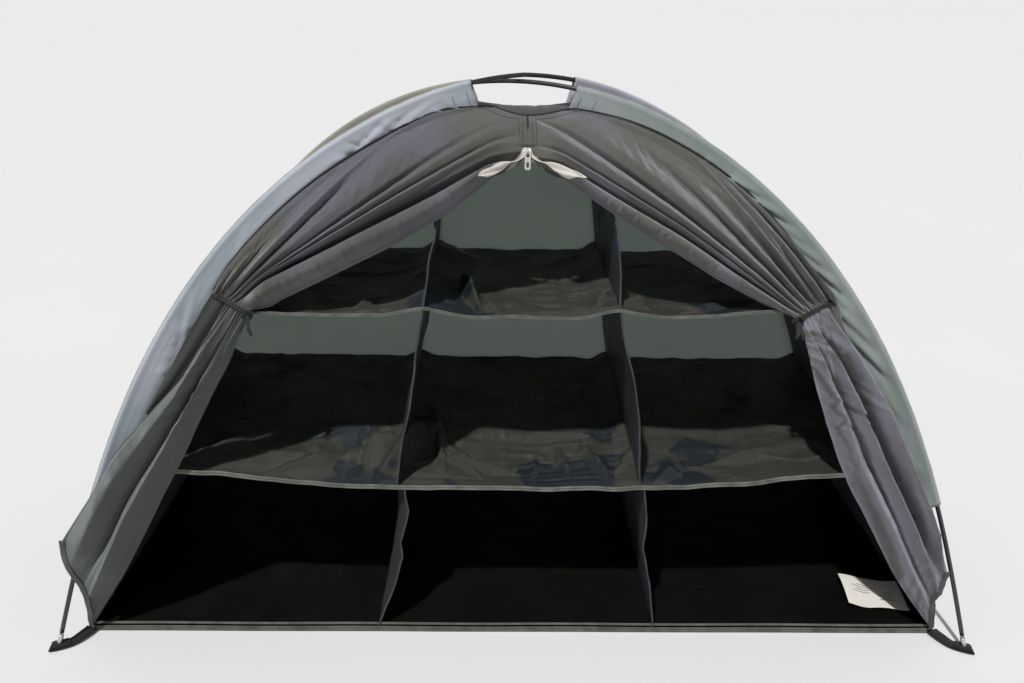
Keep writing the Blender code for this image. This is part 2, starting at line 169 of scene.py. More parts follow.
def body_profile():
    """(half width, half depth, height) of the tent body from the floor to the roof's middle."""
    upper = SEAM[(SEAM[:, 1] > SLEEVE_LOW_Z) & (SEAM[:, 0] > 0)][::-1]
    rows = points_of(upper[:, 0] / REACH * FOOT_X, upper[:, 0] / REACH * FOOT_Y, upper[:, 1])
    crown = [0.0, 0.0, rows[-1, 2] + 0.0002]
    return np.vstack([[FLOOR_X, FLOOR_Y, 0.0], rows, crown])


PROFILE = body_profile()
RISE = arc_length(PROFILE[:, 1:])
TOP_RISE = RISE[-1]


def rise_at(z):
    return float(np.interp(z, PROFILE[:, 2], RISE))


def half_at(z):
    """Half width and half depth of the body at a height."""
    return [float(np.interp(z, PROFILE[:, 2], PROFILE[:, k])) for k in (0, 1)]


def at_rise(rise):
    """Half width, half depth, height and outward normal (depth, height) at a distance up the front."""
    step = 0.004
    rise = np.clip(rise, 0.0, TOP_RISE)
    half_x, half_y, z = (np.interp(rise, RISE, column) for column in PROFILE.T)
    dy, dz = (np.interp(rise + step, RISE, column) - np.interp(rise - step, RISE, column)
              for column in PROFILE.T[1:])
    size = np.hypot(dy, dz) + 1e-9
    return half_x, half_y, z, dz / size, -dy / size


def on_front(x, rise, out=0.0):
    """Points on the front of the body, moved outward along its normal.

    Beyond the corner seam the surface carries on over the face of the pole sleeve.
    """
    half_x, half_y, z, ny, nz = at_rise(rise)
    over = np.maximum(np.abs(x) - half_x, 0.0) * FOOT_Y / FOOT_X
    return points_of(x, FRONT * (half_y + over + out * ny), z + out * nz)


# how far the door's cloth reaches past the corner seam and over each front sleeve, by distance up the front
OVERLAP = {"left": ((0.46, 0.5, 0.64, 0.665, 0.695, 0.724), (0.012, 0.018, 0.019, 0.022, 0.036, 0.062)),
           "right": ((0.46, 0.5, 0.545, 0.585, 0.665, 0.705, 0.724),
                     (0.011, 0.016, 0.023, 0.0285, 0.037, 0.046, 0.041))}


def overlap(hand, rise):
    return np.interp(rise, *OVERLAP[hand])


# ---- node materials
class Shader:
    """A Principled material whose node tree is put together a node at a time."""

    def __init__(self, name, colour, roughness, **settings):
        self.mat = bpy.data.materials.new(name)
        self.mat.use_nodes = True
        self.tree = self.mat.node_tree
        self.bsdf = self.tree.nodes["Principled BSDF"]
        self.coords = self.tree.nodes.new("ShaderNodeTexCoord")
        self.height = None
        self.feed(self.bsdf, Base_Color=(*colour, 1), Roughness=roughness, **settings)

    def put(self, slot, value):
        """Give an input a value, or link it where the value is another node's output."""
        if isinstance(value, bpy.types.NodeSocket):
            self.tree.links.new(value, slot)
        else:
            slot.default_value = value

    def feed(self, node, **inputs):
        for name, value in inputs.items():
            self.put(node.inputs[name.replace("_", " ")], value)

    def node(self, kind, **inputs):
        made = self.tree.nodes.new("ShaderNode" + kind)
        self.feed(made, **inputs)
        return made

    def noise(self, scale, detail=3.0, stretch=(1, 1, 1), source="Object"):
        mapping = self.node("Mapping", Vector=self.coords.outputs[source], Scale=stretch)
        return self.node("TexNoise", Vector=mapping.outputs[0], Scale=scale, Detail=detail).outputs[0]

    def math(self, operation, a, b):
        made = self.node("Math")
        made.operation = operation
        self.put(made.inputs[0], a)
        self.put(made.inputs[1], b)
        return made.outputs[0]

    def ramp(self, factor, low, high, start=0.35, end=0.65):
        """Map a factor to a value between low and high (numbers or colours)."""
        made = self.node("MapRange", Value=factor, From_Min=start, From_Max=end)
        if isinstance(low, tuple):
            mix = self.node("Mix")
            mix.data_type = "RGBA"
            for slot, value in zip((0, 6, 7), (made.outputs[0], (*low, 1), (*high, 1))):
                self.put(mix.inputs[slot], value)
            return mix.outputs[2]
        self.feed(made, To_Min=low, To_Max=high)
        return made.outputs[0]

    def add_height(self, factor, weight):
        scaled = self.math("MULTIPLY", factor, weight)
        self.height = scaled if self.height is None else self.math("ADD", self.height, scaled)

    def wave(self, coordinate, pitch):
        return self.math("SINE", self.math("MULTIPLY", coordinate, math.tau / pitch), 0)

    def weave(self, pitch, weight):
        """Plain weave: crossed threads, one every pitch metres of the cloth's own surface."""
        mapping = self.node("Mapping", Vector=self.coords.outputs["UV"], Scale=(1, 1, 1))
        split = self.node("SeparateXYZ", Vector=mapping.outputs[0])
        self.add_height(self.math("MULTIPLY", *(self.wave(split.outputs[k], pitch) for k in (0, 1))), weight)

    def finish(self, distance):
        bump = self.node("Bump", Height=self.height, Distance=distance, Strength=1.0)
        self.feed(self.bsdf, Normal=bump.outputs[0])
        return self.mat


def cloth(name, colour, roughness, sheen=0.3, crease=0.5, vary=0.12, weave=0.0006, glow=0.0, gloss=0.4, other=None,
          tint=(1.0, 1.0, 1.0), through=None, turn=(0.4, 0.6), grain=(1.0, 1.0, 0.6), laid_by="Object"):
    """Woven cloth: weave, soft tone changes, small creases.

    other is a second tone that drifts in where noise passes turn (stretched by grain), and glow the share
    of light let through.
    """
    made = Shader(name, colour, roughness, Sheen_Tint=(*tint, 1), Sheen_Weight=sheen, Sheen_Roughness=0.4,
                  Specular_IOR_Level=gloss)
    dark = tuple(c * (1 - vary) for c in colour)
    light = tuple(min(1.0, c * (1 + vary)) for c in (other or colour))
    patches = made.noise(7.0, 4.0 if laid_by == "Object" else 1.0, grain, laid_by)
    made.feed(made.bsdf, Base_Color=made.ramp(patches, dark, light, *turn))
    made.feed(made.bsdf, Roughness=made.ramp(made.noise(26.0), roughness - 0.07, roughness + 0.07))
    made.weave(weave, 0.06)
    made.add_height(made.noise(34.0, 4.0), 0.9 * crease)
    made.add_height(made.noise(110.0, 2.0, (1.0, 1.0, 0.45)), 0.22 * crease)
    made.finish(0.0022)
    if glow:
        passing = made.node("BsdfTranslucent", Color=(*(through or colour), 1))
        mix = made.node("MixShader")
        for slot, value in enumerate((glow, made.bsdf.outputs[0], passing.outputs[0])):
            made.put(mix.inputs[slot], value)
        made.put(made.tree.nodes["Material Output"].inputs[0], mix.outputs[0])
    return made.mat


def webbing(name, colour, rib=0.0016):
    """Ribbed tape, with its ribs along the strip."""
    made = Shader(name, colour, 0.75, Sheen_Weight=0.08, Specular_IOR_Level=0.25)
    split = made.node("SeparateXYZ", Vector=made.coords.outputs["UV"])
    across, along = made.wave(split.outputs[0], rib), made.wave(split.outputs[1], rib * 0.6)
    made.add_height(across, 0.16)
    made.add_height(made.math("MULTIPLY", across, along), 0.1)
    made.add_height(made.noise(300.0), 0.2)
    tone = made.ramp(made.noise(60.0), *(tuple(c * share for c in colour) for share in (0.75, 1.3)))
    made.feed(made.bsdf, Base_Color=tone)
    return made.finish(0.0012)


def polished(name, colour, roughness, wear, grain, distance, **settings):
    """Metal or a coated rod; wear and grain are noises (scale, detail, stretch) of roughness and height."""
    made = Shader(name, colour, roughness, **settings)
    made.feed(made.bsdf, Roughness=made.ramp(made.noise(*wear), roughness - 0.08, roughness + 0.12))
    made.add_height(made.noise(*grain[:3]), grain[3])
    return made.finish(distance)


OLIVE, LILAC = (0.096, 0.102, 0.081), (0.104, 0.102, 0.122)
# painted light: a lighter copy of the door cloth for the right-hand door and facing, standing in for the brighter
# light on that side
LIT_OLIVE, LIT_LILAC = (0.11, 0.113, 0.096), (0.13, 0.127, 0.15)
PANEL = cloth("panel_cloth", OLIVE, 0.4, sheen=0.45, crease=0.22, glow=0.03, gloss=0.55, other=LILAC,
    tint=(0.88, 0.88, 1.0), turn=(0.46, 0.58))
PANEL_RIGHT_LIT = cloth("panel_cloth_right_lit", LIT_OLIVE, 0.36, sheen=0.5, crease=0.22, glow=0.03, gloss=0.65,
    other=LIT_LILAC, tint=(0.9, 0.89, 1.0), turn=(0.53, 0.62))
# painted highlights and painted shade: dark cloth with bright lilac streaks laid along the right loose part's folds,
# for glossy ridges and dark valleys
PANEL_PAINTED_HIGHLIGHTS = cloth("panel_cloth_painted_highlights", (0.06, 0.064, 0.056), 0.3, sheen=0.45, crease=0.26, glow=0.02,
    gloss=0.8, other=(0.185, 0.181, 0.218), tint=(0.9, 0.89, 1.0), turn=(0.42, 0.58), grain=(4.5, 0.3, 1.0),
    laid_by="UV")
# painted shade: a darker, greener copy of the door cloth for the left loose part
PANEL_TAIL_SHADED = cloth("panel_cloth_tail_shaded", (0.062, 0.071, 0.062), 0.4, sheen=0.4, crease=0.25, glow=0.03, gloss=0.5,
    other=(0.08, 0.086, 0.092), tint=(0.86, 0.92, 0.95), turn=(0.48, 0.6))
# painted shade: a darker copy of the door cloth for the shadowed under layer beside the left sleeve
PANEL_SHADE = cloth("panel_cloth_shade", (0.04, 0.044, 0.038), 0.45, sheen=0.2, crease=0.25, gloss=0.3)
PANEL_BACK = cloth("facing_cloth", (0.072, 0.077, 0.06), 0.4, sheen=0.45, other=LILAC, gloss=0.5,
    tint=(0.88, 0.86, 1.0))
WALL = cloth("wall_cloth", (0.078, 0.09, 0.082), 0.62, sheen=0.1, crease=0.06, vary=0.05, glow=0.44, gloss=0.2,
    through=(0.84, 0.92, 0.86))
SIDE_WALL = cloth("side_wall_cloth", (0.06, 0.064, 0.078), 0.55, sheen=0.1, crease=0.25, vary=0.08, glow=0.16,
    gloss=0.3, through=(0.14, 0.16, 0.2))
# painted reflection: the second tone's sharp-edged dark teal patches stand in for reflections on the glossy shelf
# cloth
INNER = cloth("inner_cloth", (0.052, 0.052, 0.043), 0.34, sheen=0.0, crease=0.22, vary=0.1, gloss=0.32,
    other=(0.015, 0.02, 0.024), turn=(0.555, 0.567))
DIVIDER = cloth("divider_cloth", (0.012, 0.015, 0.019), 0.42, sheen=0.04, vary=0.15, gloss=0.35)
FLOOR = cloth("floor_cloth", (0.0032, 0.0029, 0.0025), 0.5, sheen=0.0, crease=0.6, vary=0.3, gloss=0.08)
# corner: colour word in the material's name, colour, light let through, second tone. One fabric, made lighter or
# darker at each corner as painted light
SLEEVE_LIGHT_TONES = {"front_left": ("blue", (0.5, 0.57, 0.63), (0.6, 0.62, 0.7), (0.52, 0.55, 0.62)),
                "front_right": ("sage", (0.31, 0.37, 0.35), (0.4, 0.45, 0.43), (0.34, 0.37, 0.38)),
                "rear_left": ("sand", (0.4, 0.4, 0.34), (0.5, 0.5, 0.42), None),
                "rear_right": ("lilac", (0.5, 0.5, 0.58), (0.6, 0.6, 0.66), None)}
SLEEVES = {corner: cloth("sleeve_cloth_painted_light_" + tone, colour, 0.5, crease=0.4, glow=0.15, through=through, other=other)
           for corner, (tone, colour, through, other) in SLEEVE_LIGHT_TONES.items()}
BINDING = webbing("binding_tape", (0.105, 0.108, 0.094), 0.0011)
SHELF_TAPE = webbing("shelf_tape", (0.15, 0.152, 0.134), 0.0011)
PIPING = webbing("piping_tape", (0.042, 0.046, 0.056), 0.0009)
PIPING_DARK = webbing("piping_dark", (0.018, 0.019, 0.02), 0.0009)
HEM = webbing("hem_tape", (0.06, 0.064, 0.062), 0.0011)
ZIP_TAPE = cloth("zip_tape", (0.66, 0.62, 0.56), 0.75, crease=0.25, weave=0.0009)
LABEL_CLOTH = cloth("label_cloth", (0.93, 0.885, 0.8), 0.65, crease=0.3, vary=0.04)
LABEL_RULE = webbing("label_rule", (0.2, 0.2, 0.2), 0.0006)
ROOF = cloth("roof_cloth", (0.042, 0.044, 0.045), 0.45, sheen=0.3, crease=0.4)
TIE_END = webbing("tie_ribbon_end", (0.02, 0.021, 0.021), 0.001)
# painted highlight: pale tape laid on the front sleeves' round outer edge for the light caught there
EDGE_HIGHLIGHT_TAPE = webbing("painted_highlight_tape", (0.46, 0.45, 0.39), 0.0009)
STRAP = webbing("strap_webbing", (0.0055, 0.0055, 0.0055), 0.0018)
TIE = webbing("tie_ribbon", (0.034, 0.038, 0.036), 0.001)
THREAD = webbing("thread", (0.024, 0.026, 0.026), 0.0005)
STEEL = polished("plated_steel", (0.66, 0.645, 0.6), 0.3, (400.0, 3.0, (1, 1, 0.15)), (700.0, 2.0, (1, 1, 0.2), 0.15),
    0.0004, Metallic=1.0)
POLE_BLACK = polished("pole_black", (0.012, 0.012, 0.012), 0.3, (60.0, 4.0), (500.0, 2.0, (1, 1, 0.3), 0.12), 0.0005,
    Coat_Weight=0.3)


# ---- making pieces
def finish_piece(obj, mat, body="tent", replaces=()):
    obj.data.materials.append(mat)
    if body:
        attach(obj, body)
    if replaces:
        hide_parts(*replaces)
    return obj


def smooth_object(name, points, faces, uv=None):
    """Object with smooth shading; uv holds one pair for each corner of each face."""
    mesh = bpy.data.meshes.new(name)
    mesh.from_pydata(points, [], faces)
    layer = mesh.uv_layers.new(name="UVMap")
    if uv is not None:
        layer.data.foreach_set("uv", uv.astype(np.float32).ravel())
    mesh.shade_smooth()
    obj = bpy.data.objects.new(name, mesh)
    bpy.context.scene.collection.objects.link(obj)
    return obj


def grid_object(name, grid, closed=False):
    """Surface through a grid of points, or a capped tube, with a UV map measured in metres of surface."""
    rows, cols = grid.shape[:2]
    index = np.arange(rows * cols).reshape(rows, cols)
    caps = [index[0, ::-1].tolist(), index[-1].tolist()] if closed else []
    if closed:
        index = np.hstack([index, index[:, :1]])
    quads = points_of(index[:-1, :-1], index[:-1, 1:], index[1:, 1:], index[1:, :-1]).reshape(-1, 4)
    down = np.vstack([np.zeros((1, cols)), np.cumsum(lengths(grid), axis=0)])
    side = np.hstack([np.zeros((rows, 1)), np.cumsum(lengths(grid, 1), axis=1)])
    uv = points_of(side, down).reshape(-1, 2)[quads.ravel()]
    uv = np.vstack([uv, np.zeros((sum(map(len, caps)), 2))])
    return smooth_object(name, grid.reshape(-1, 3).tolist(), quads.tolist() + caps, uv)


def cloth_piece(name, grid, mat, body="tent", replaces=(), thick=0.0006):
    """Sheet through a grid of points."""
    obj = finish_piece(grid_object(name, grid), mat, body, replaces)
    shell = obj.modifiers.new("Cloth thickness", "SOLIDIFY")
    shell.thickness = thick
    shell.offset = 0.0
    return obj


def swept(name, path, section, up, mat, body="tent", replaces=()):
    """Solid strip along a path; section is a tape's (width, thickness) or a loop of (across, up) points."""
    section = tape_section(*section) if isinstance(section, tuple) else section
    along = direction(path)
    side = np.cross(along, np.broadcast_to(np.asarray(up, float), path.shape))
    side /= np.linalg.norm(side, axis=1, keepdims=True)
    lift = np.cross(side, along)
    grid = path[:, None] + side[:, None] * section[None, :, :1] + lift[:, None] * section[None, :, 1:]
    return finish_piece(grid_object(name, grid, closed=True), mat, body, replaces)


def tape_section(width, thick, steps=4):
    """Flat tape with round edges, centred, as (across, up)."""
    radius = thick / 2
    turn = np.radians(np.linspace(-90, 90, steps + 1))
    edge = points_of(width / 2 - radius + radius * np.cos(turn), radius * np.sin(turn))
    return np.vstack([edge, -edge])


def round_section(radius, count):
    turn = math.tau * np.arange(count) / count
    return radius * points_of(np.cos(turn), np.sin(turn))


STITCH_PITCH, STITCH_HALF = 0.0032, 0.00028
STITCH_RINGS = ((-0.36, 0.5), (0.0, 1.15), (0.36, 0.5))  # (distance along in pitches, swelling)
STITCH_FACES = [[ring + k, ring + (k + 1) % 4, ring + 4 + (k + 1) % 4, ring + 4 + k]
                for ring in (0, 4) for k in range(4)] + [[3, 2, 1, 0], [8, 9, 10, 11]]


def stitches(name, lines):
    """Rows of raised stitches; lines holds (points, outward normals) along each row."""
    verts, faces = [], []
    for points, normals in lines:
        both = np.hstack([points, np.broadcast_to(np.asarray(normals, float), points.shape)])
        count = max(2, int(arc_length(points)[-1] / STITCH_PITCH))
        where = (np.arange(count) + 0.5) / count
        centre, normal = spaced(points, where), spaced(both, where)[:, 3:]
        for c, n, t in zip(centre, normal, direction(centre)):
            side = np.cross(t, n)
            faces += [[len(verts) + k for k in face] for face in STITCH_FACES]
            verts += [tuple(c + t * reach * STITCH_PITCH + (side * a + n * b) * STITCH_HALF * swell)
                      for reach, swell in STITCH_RINGS for a, b in ((-1, -1), (1, -1), (1, 1), (-1, 1))]
    return finish_piece(smooth_object(name, verts, faces), THREAD)


# ---- poles and their sleeves
CORNERS = {"front_left": (LEFT, FRONT), "front_right": (RIGHT, FRONT),
           "rear_left": (LEFT, REAR), "rear_right": (RIGHT, REAR)}
UPPER_POLE = ("front_left", "rear_right")
POLE_END_Z = 0.0205  # the metal tips take over below this height
SLEEVE_ENDS = (0.072, 0.786)  # as fractions of the pole from its crossing
# slanting pulls in each sleeve's cloth: slope, distances down from the upper end, depth
DRAG_LINES = {"front_left": (-2.6, (0.15, 0.205, 0.42, 0.53), 0.002),
              "front_right": (3.0, (0.15, 0.192, 0.232, 0.27, 0.305, 0.342, 0.385, 0.43, 0.5, 0.58, 0.64),
                              0.0036),
              "rear_left": (-1.2, (0.1, 0.24, 0.31, 0.45, 0.6), 0.0024),
              "rear_right": (1.2, (0.08, 0.18, 0.33, 0.47, 0.58), 0.0024)}


def corner_points(corner, flat, lifted=False):
    """(r, z) points in the upright plane of a corner, as points in space."""
    side, end = CORNERS[corner]
    share = flat[:, 0] / REACH
    lift = CROSS_LIFT * np.clip(1 - 3 * share, 0, 1) if lifted else 0.0
    return points_of(side * share * FOOT_X, end * share * FOOT_Y, flat[:, 1] + lift)


def across_plane(corner):
    """Unit vector square to a corner's upright plane."""
    side, end = CORNERS[corner]
    return np.array([-end * FOOT_Y, side * FOOT_X, 0.0]) / REACH


def make_pole(name, near, far, lifted, node):
    flat = spaced(POLE, unit(90))
    flat = flat[flat[:, 1] > POLE_END_Z]
    path = np.vstack([corner_points(near, flat, lifted)[::-1], corner_points(far, flat, lifted)[1:]])
    swept(name, path, round_section(POLE_RADIUS, 14), across_plane(near), POLE_BLACK,
          replaces=[node])


def make_sleeve(corner):
    """Flat cloth tube: from the corner seam out, round the pole in its outer edge, and back."""
    side, end = CORNERS[corner]
    lifted = corner in UPPER_POLE
    seed = 3 + list(CORNERS).index(corner)
    width_out = across_plane(corner) * (side * end)
    radius = POLE_RADIUS + 0.0011
    around = np.radians(np.linspace(118, -118, 11))
    tip = radius * np.sin(around[0])
    face = unit(13)[:-1]
    bulge = 0.0008 + 0.0018 * smooth((face - 0.3) / 0.3) * arch(face)
    swell = lerp(bulge, tip, face ** 2)[:, None] * width_out
    rows, covered = [], []
    for k in unit(150):
        spot = lerp(*SLEEVE_ENDS, k)
        spots = [*(spot + 0.011 * (1 - face) * (2 * k - 1)), spot]
        poles = corner_points(corner, spaced(POLE, spots), lifted)
        seams = corner_points(corner, spaced(SEAM, spots))
        out = poles[-1] - seams[-1]
        out /= np.linalg.norm(out)
        middle = lerp(seams[:-1], poles[:-1], face[:, None] * 0.9)
        loop = poles[-1] + radius * (out * np.cos(around)[:, None] + width_out * np.sin(around)[:, None])
        rows.append(np.vstack([middle + swell, loop, (middle - swell)[::-1]]))
        # share of the sleeve's width that the door's cloth hides
        steep, wide = (np.interp(spots[-2], unit(len(POLE)), v) for v in (-ALONG[:, 1], WIDTH))
        reach = overlap(corner.split("_")[1], rise_at(seams[-1][2])) if end == FRONT else 0.0
        covered.append(min(0.7, reach * REACH / FOOT_X * steep / wide))
    grid = np.array(rows)
    ridge_line = grid[:, len(face) + 5]
    away = np.concatenate([face, np.ones(len(around)), face[::-1]])  # from the seam to the pole
    covered = np.array(covered)[:, None]
    bare = np.clip((away - covered) / (1 - covered), 0, 1)
    loose = smooth(bare / 0.3) * smooth((1 - bare) / 0.25)
    along = arc_length(ridge_line)[:, None]
    aslant = points_of(along - 0.8 * WIDTH[0] * away, away * 0.03)
    patches = smooth(ripple(aslant, (0.16, 0.05, 1), seed, 2) * 1.8 + 0.35)
    creased = 0.0024 * ripple(aslant, (0.009, 0.034, 1), seed + 9) * patches
    slant, places, depth = DRAG_LINES[corner]
    for k, place in enumerate(places):
        line = along - slant * 0.04 * away - place
        creased += depth * (0.6 + 0.4 * math.sin(k * 2.1)) * (hump(line, 0, 0.011) - hump(line, 0.02, 0.011))
    grid += width_out * (creased * loose)[..., None]
    cloth_piece("sleeve_" + corner, grid, SLEEVES[corner],
                replaces=["pole_sleeve_" + corner], thick=0.0005)
    # painted highlight: a pale strip along the sleeve's round outer edge
    if end == FRONT:
        swept("sleeve_edge_highlight_" + corner, ridge_line + (0.0, -0.0006, 0.0), (0.0016, 0.0012), width_out,
              EDGE_HIGHLIGHT_TAPE)
    stitches("sleeve_hem_stitches_" + corner,
             [(grid[row, part] + width_out * lift * 0.0009, width_out * lift) for row in (2, 6, -3, -7)
              for part, lift in ((slice(1, 11), 1), (slice(-11, -1), -1))])


make_pole("pole_a", "front_left", "rear_right", True, "pole_front_left_to_rear_right")
make_pole("pole_b", "front_right", "rear_left", False, "pole_front_right_to_rear_left")
for name in CORNERS:
    make_sleeve(name)


# ---- walls and floor
def make_wall(name, axis, sign, mat):
    """One of the back and side walls, from floor to crown, drawn in a little between its seams."""
    across, rises = np.meshgrid(np.linspace(-1, 1, 61), np.linspace(0.002, TOP_RISE - 0.008, 90))
    half_x, half_y, z, ny, nz = at_rise(rises)
    drawn = 0.004 * (1 - across ** 4)
    if axis == "y":
        grid = points_of(across * half_x, sign * (half_y - drawn * ny), z - drawn * nz)
    else:
        grid = points_of(sign * (half_x - drawn * ny), across * half_y, z)
    normal = np.cross(np.gradient(grid, axis=0), np.gradient(grid, axis=1))
    normal /= np.linalg.norm(normal, axis=2, keepdims=True) + 1e-12
    grid += normal * (0.0016 * ripple(grid, 0.11, 11 + sign))[..., None]
    cloth_piece(name + "_wall_cloth", grid, mat,
                replaces=[name + "_wall"])


make_wall("rear", "y", REAR, WALL)
make_wall("left", "x", LEFT, SIDE_WALL)
make_wall("right", "x", RIGHT, SIDE_WALL)


def make_floor():
    x, y = np.meshgrid(np.linspace(-FLOOR_X + 0.001, FLOOR_X - 0.001, 150),
                       np.linspace(-FLOOR_Y + 0.001, FLOOR_Y - 0.001, 70))
    grid = points_of(x, y, 0.0)
    rim = smooth((FLOOR_Y - np.abs(y)) / 0.03)
    grid[..., 2] = np.maximum(0.0014 + rim * (0.0016 + 0.0022 * ripple(grid, (0.11, 0.04, 1), 21)), 0.0008)
    cloth_piece("floor_cloth", grid, FLOOR, replaces=["floor_panel"])
    x = np.linspace(-FLOOR_X + 0.004, FLOOR_X - 0.004, 120)
    low = points_of(x, -FLOOR_Y - 0.0006, 0.004 + 0.0004 * np.sin(x * 23))
    swept("floor_binding", low, (0.0078, 0.0022), (0, -1, 0), BINDING,
          replaces=["floor_front_binding"])
    swept("floor_binding_fold", low + (0, 0.0045, 0.0052), (0.0034, 0.0012), (0, -0.5, 1), BINDING)
    stitches("floor_binding_stitches", [(low + (0, -0.0012, 0.0022), (0, -1, 0))])


make_floor()


# ---- shelves and dividers
def bay_middle(x, edges):
    """1 in the middle of each bay between the supports at edges, 0 at the supports."""
    out = np.ones_like(x)
    for a, b in zip(edges, edges[1:]):
        out = np.where((x >= a) & (x <= b), 1 - ((2 * x - a - b) / (b - a)) ** 2, out)
    return out


def ridge(points, fold):
    """Height of one pressed fold: (x, y, heading, half width, half length, height), sharp along its top."""
    fx, fy, heading, width, length, height = fold
    x, y, a = points[..., 0] - fx, points[..., 1] - fy, math.radians(heading)
    along, aside = x * math.cos(a) + y * math.sin(a), y * math.cos(a) - x * math.sin(a)
    return height * np.clip(np.clip(1 - np.abs(along / length), 0, 1) - np.abs(aside) / width, 0, 1)


def make_shelf(level, z, divider, seed, front_line, rear_line, sag, folds, tape):
    """Slack cloth shelf: hung from its seams, sagging in each bay, creased, and taped along the front."""
    half_x, half_y = (half - 0.002 for half in half_at(z))
    x, y = np.meshgrid(np.linspace(-half_x, half_x, 300), np.linspace(-half_y, half_y, 120))
    middle = bay_middle(x, [-half_x, -divider, divider, half_x])
    depth = (y + half_y) / (2 * half_y)
    plan = points_of(x, y, 0.0)
    kinks = 0.0022 * ripple(points_of(x, 0.0), 0.055, seed + 8, 2) * smooth(middle * 3)
    height = lerp(front_line(x, middle) + kinks, rear_line(middle) - 2 * np.abs(kinks), depth)
    height -= sag * middle * arch(depth) ** 0.7
    soft = smooth(depth * 14) * smooth((1 - depth) * 14) * smooth(middle * 4)
    height += 0.004 * ripple(plan, (0.16, 0.08, 1), seed, 2) * soft
    height += sum(ridge(plan, fold) for fold in folds) * smooth(depth * 30 + 0.25)
    bent = plan + 0.02 * points_of(ripple(plan, 0.06, seed + 1), ripple(plan, 0.06, seed + 2), 0.0)
    height += 0.003 * np.clip(1 - np.abs(ripple(bent, (0.13, 0.07, 1), seed + 5, 1)) / 0.16, 0, 1) * soft
    grid = points_of(x, y, height)
    name, node = level + "_shelf_cloth", "shelf_" + level
    cloth_piece(name, grid, INNER, replaces=[node])
    edge = grid[0] + (0, -0.0012, 0)
    swept(name + "_tape", edge, (tape, 0.0014), (0, -1, 0.15), SHELF_TAPE,
          replaces=[node + "_binding"])
    stitches(name + "_tape_stitches", [(edge + (0, -0.0009, 0.0008), (0, -1, 0.1))])
    return grid


LOW_FOLDS = [(-0.146, -0.1, 66, 0.03, 0.115, 0.034), (-0.112, -0.07, 98, 0.018, 0.11, 0.03),
    (-0.082, -0.12, 122, 0.016, 0.07, 0.014), (-0.045, -0.143, 160, 0.01, 0.065, 0.01),
    (-0.27, -0.14, 36, 0.022, 0.05, 0.01), (-0.215, -0.165, 58, 0.008, 0.03, 0.008),
    (0.105, -0.14, 108, 0.016, 0.07, 0.014), (0.06, -0.13, 96, 0.01, 0.06, 0.008),
    (0.02, -0.15, 84, 0.008, 0.05, 0.006), (0.15, -0.13, 60, 0.012, 0.06, 0.009),
    (0.2, -0.165, 50, 0.018, 0.05, 0.012), (0.33, -0.12, 18, 0.03, 0.12, 0.009), (-0.4, -0.12, 58, 0.02, 0.07, 0.009)]
HIGH_FOLDS = [(-0.066, -0.06, 100, 0.013, 0.1, 0.03), (-0.2, -0.11, 64, 0.01, 0.04, 0.011),
    (0.105, -0.11, 62, 0.012, 0.04, 0.01), (0.15, -0.12, 40, 0.016, 0.045, 0.016),
    (-0.095, 0.11, 95, 0.04, 0.06, 0.016), (-0.04, -0.12, 118, 0.01, 0.035, 0.01),
    (0.245, -0.12, 20, 0.014, 0.06, 0.009), (0.05, -0.115, 150, 0.01, 0.06, 0.006)]


def low_front(x, middle):
    return 0.215 + 0.022 * smooth((np.abs(x) - 0.17) / 0.28) - 0.001 * middle + 0.002 * smooth((x + 0.1) / 0.3)


def low_rear(middle):
    return 0.2385 - 0.0105 * smooth(middle * 3)


def high_front(x, middle):
    return 0.444 - 0.0105 * smooth(middle * 1.3) + (0.007 + 0.016 * x) * smooth((np.abs(x) - 0.16) / 0.16)


def high_rear(middle):
    return 0.443 - 0.014 * smooth(middle * 2.5)


low_shelf = make_shelf("lower", SHELF_Z[0], DIVIDER_X[1], 31, low_front, low_rear, 0.013, LOW_FOLDS, 0.0062)
high_shelf = make_shelf("upper", SHELF_Z[1], DIVIDER_X[2], 37, high_front, high_rear, 0.01, HIGH_FOLDS, 0.004)


def shelf_height(grid, x, y):
    row = grid[np.abs(grid[:, 0, 1] - y).argmin()]
    return float(np.interp(x, row[:, 0], row[:, 2]))


def make_divider(name, side, low_x, high_x, floor_grid, roof_grid, z_low, z_high, seed, bow, lean):
    """Upright cloth between two shelves, a little slack, with a thin taped front edge.

    bow moves its front part across, and lean its front edge, given at heights from 0 to 1.
    """
    ups, backs = unit(50), unit(60)
    rows = []
    for v in ups:
        z = lerp(z_low, z_high, v)
        half_y = half_at(z)[1] - 0.003
        tucked = 0.034 * smooth((z - 0.515) / 0.04)  # behind the folded door
        x = side * lerp(low_x, high_x, v)
        row = []
        for y in lerp(tucked - half_y, half_y, backs):
            base = z_low if floor_grid is None else shelf_height(floor_grid, x, y) + 0.0006
            top = z_high if roof_grid is None else shelf_height(roof_grid, x, y) - 0.0006
            row.append((x, y, lerp(base, top, v)))
        rows.append(row)
    grid = np.array(rows)
    slack = arch(ups)[:, None]
    grid[..., 0] += slack * (bow * arch(ups ** 0.8)[:, None] * (1 - backs) ** 2)
    grid[..., 0] += 0.005 * slack * ripple(grid, (1, 0.1, 0.07), seed, 2)
    grid[..., 0] += np.interp(ups, *lean)[:, None] * smooth((0.09 - backs) / 0.09)
    grid[..., 1] += 0.002 * slack * ripple(grid, (1, 1, 0.05), seed + 3, 2) * (1 - backs) ** 3
    cloth_piece("divider_cloth_" + name, grid, DIVIDER,
                replaces=["divider_" + name])
    swept("divider_cloth_" + name + "_piping", grid[:, 0] + (0, -0.0008, 0), (0.0024, 0.0014),
          (0, -1, 0), PIPING)


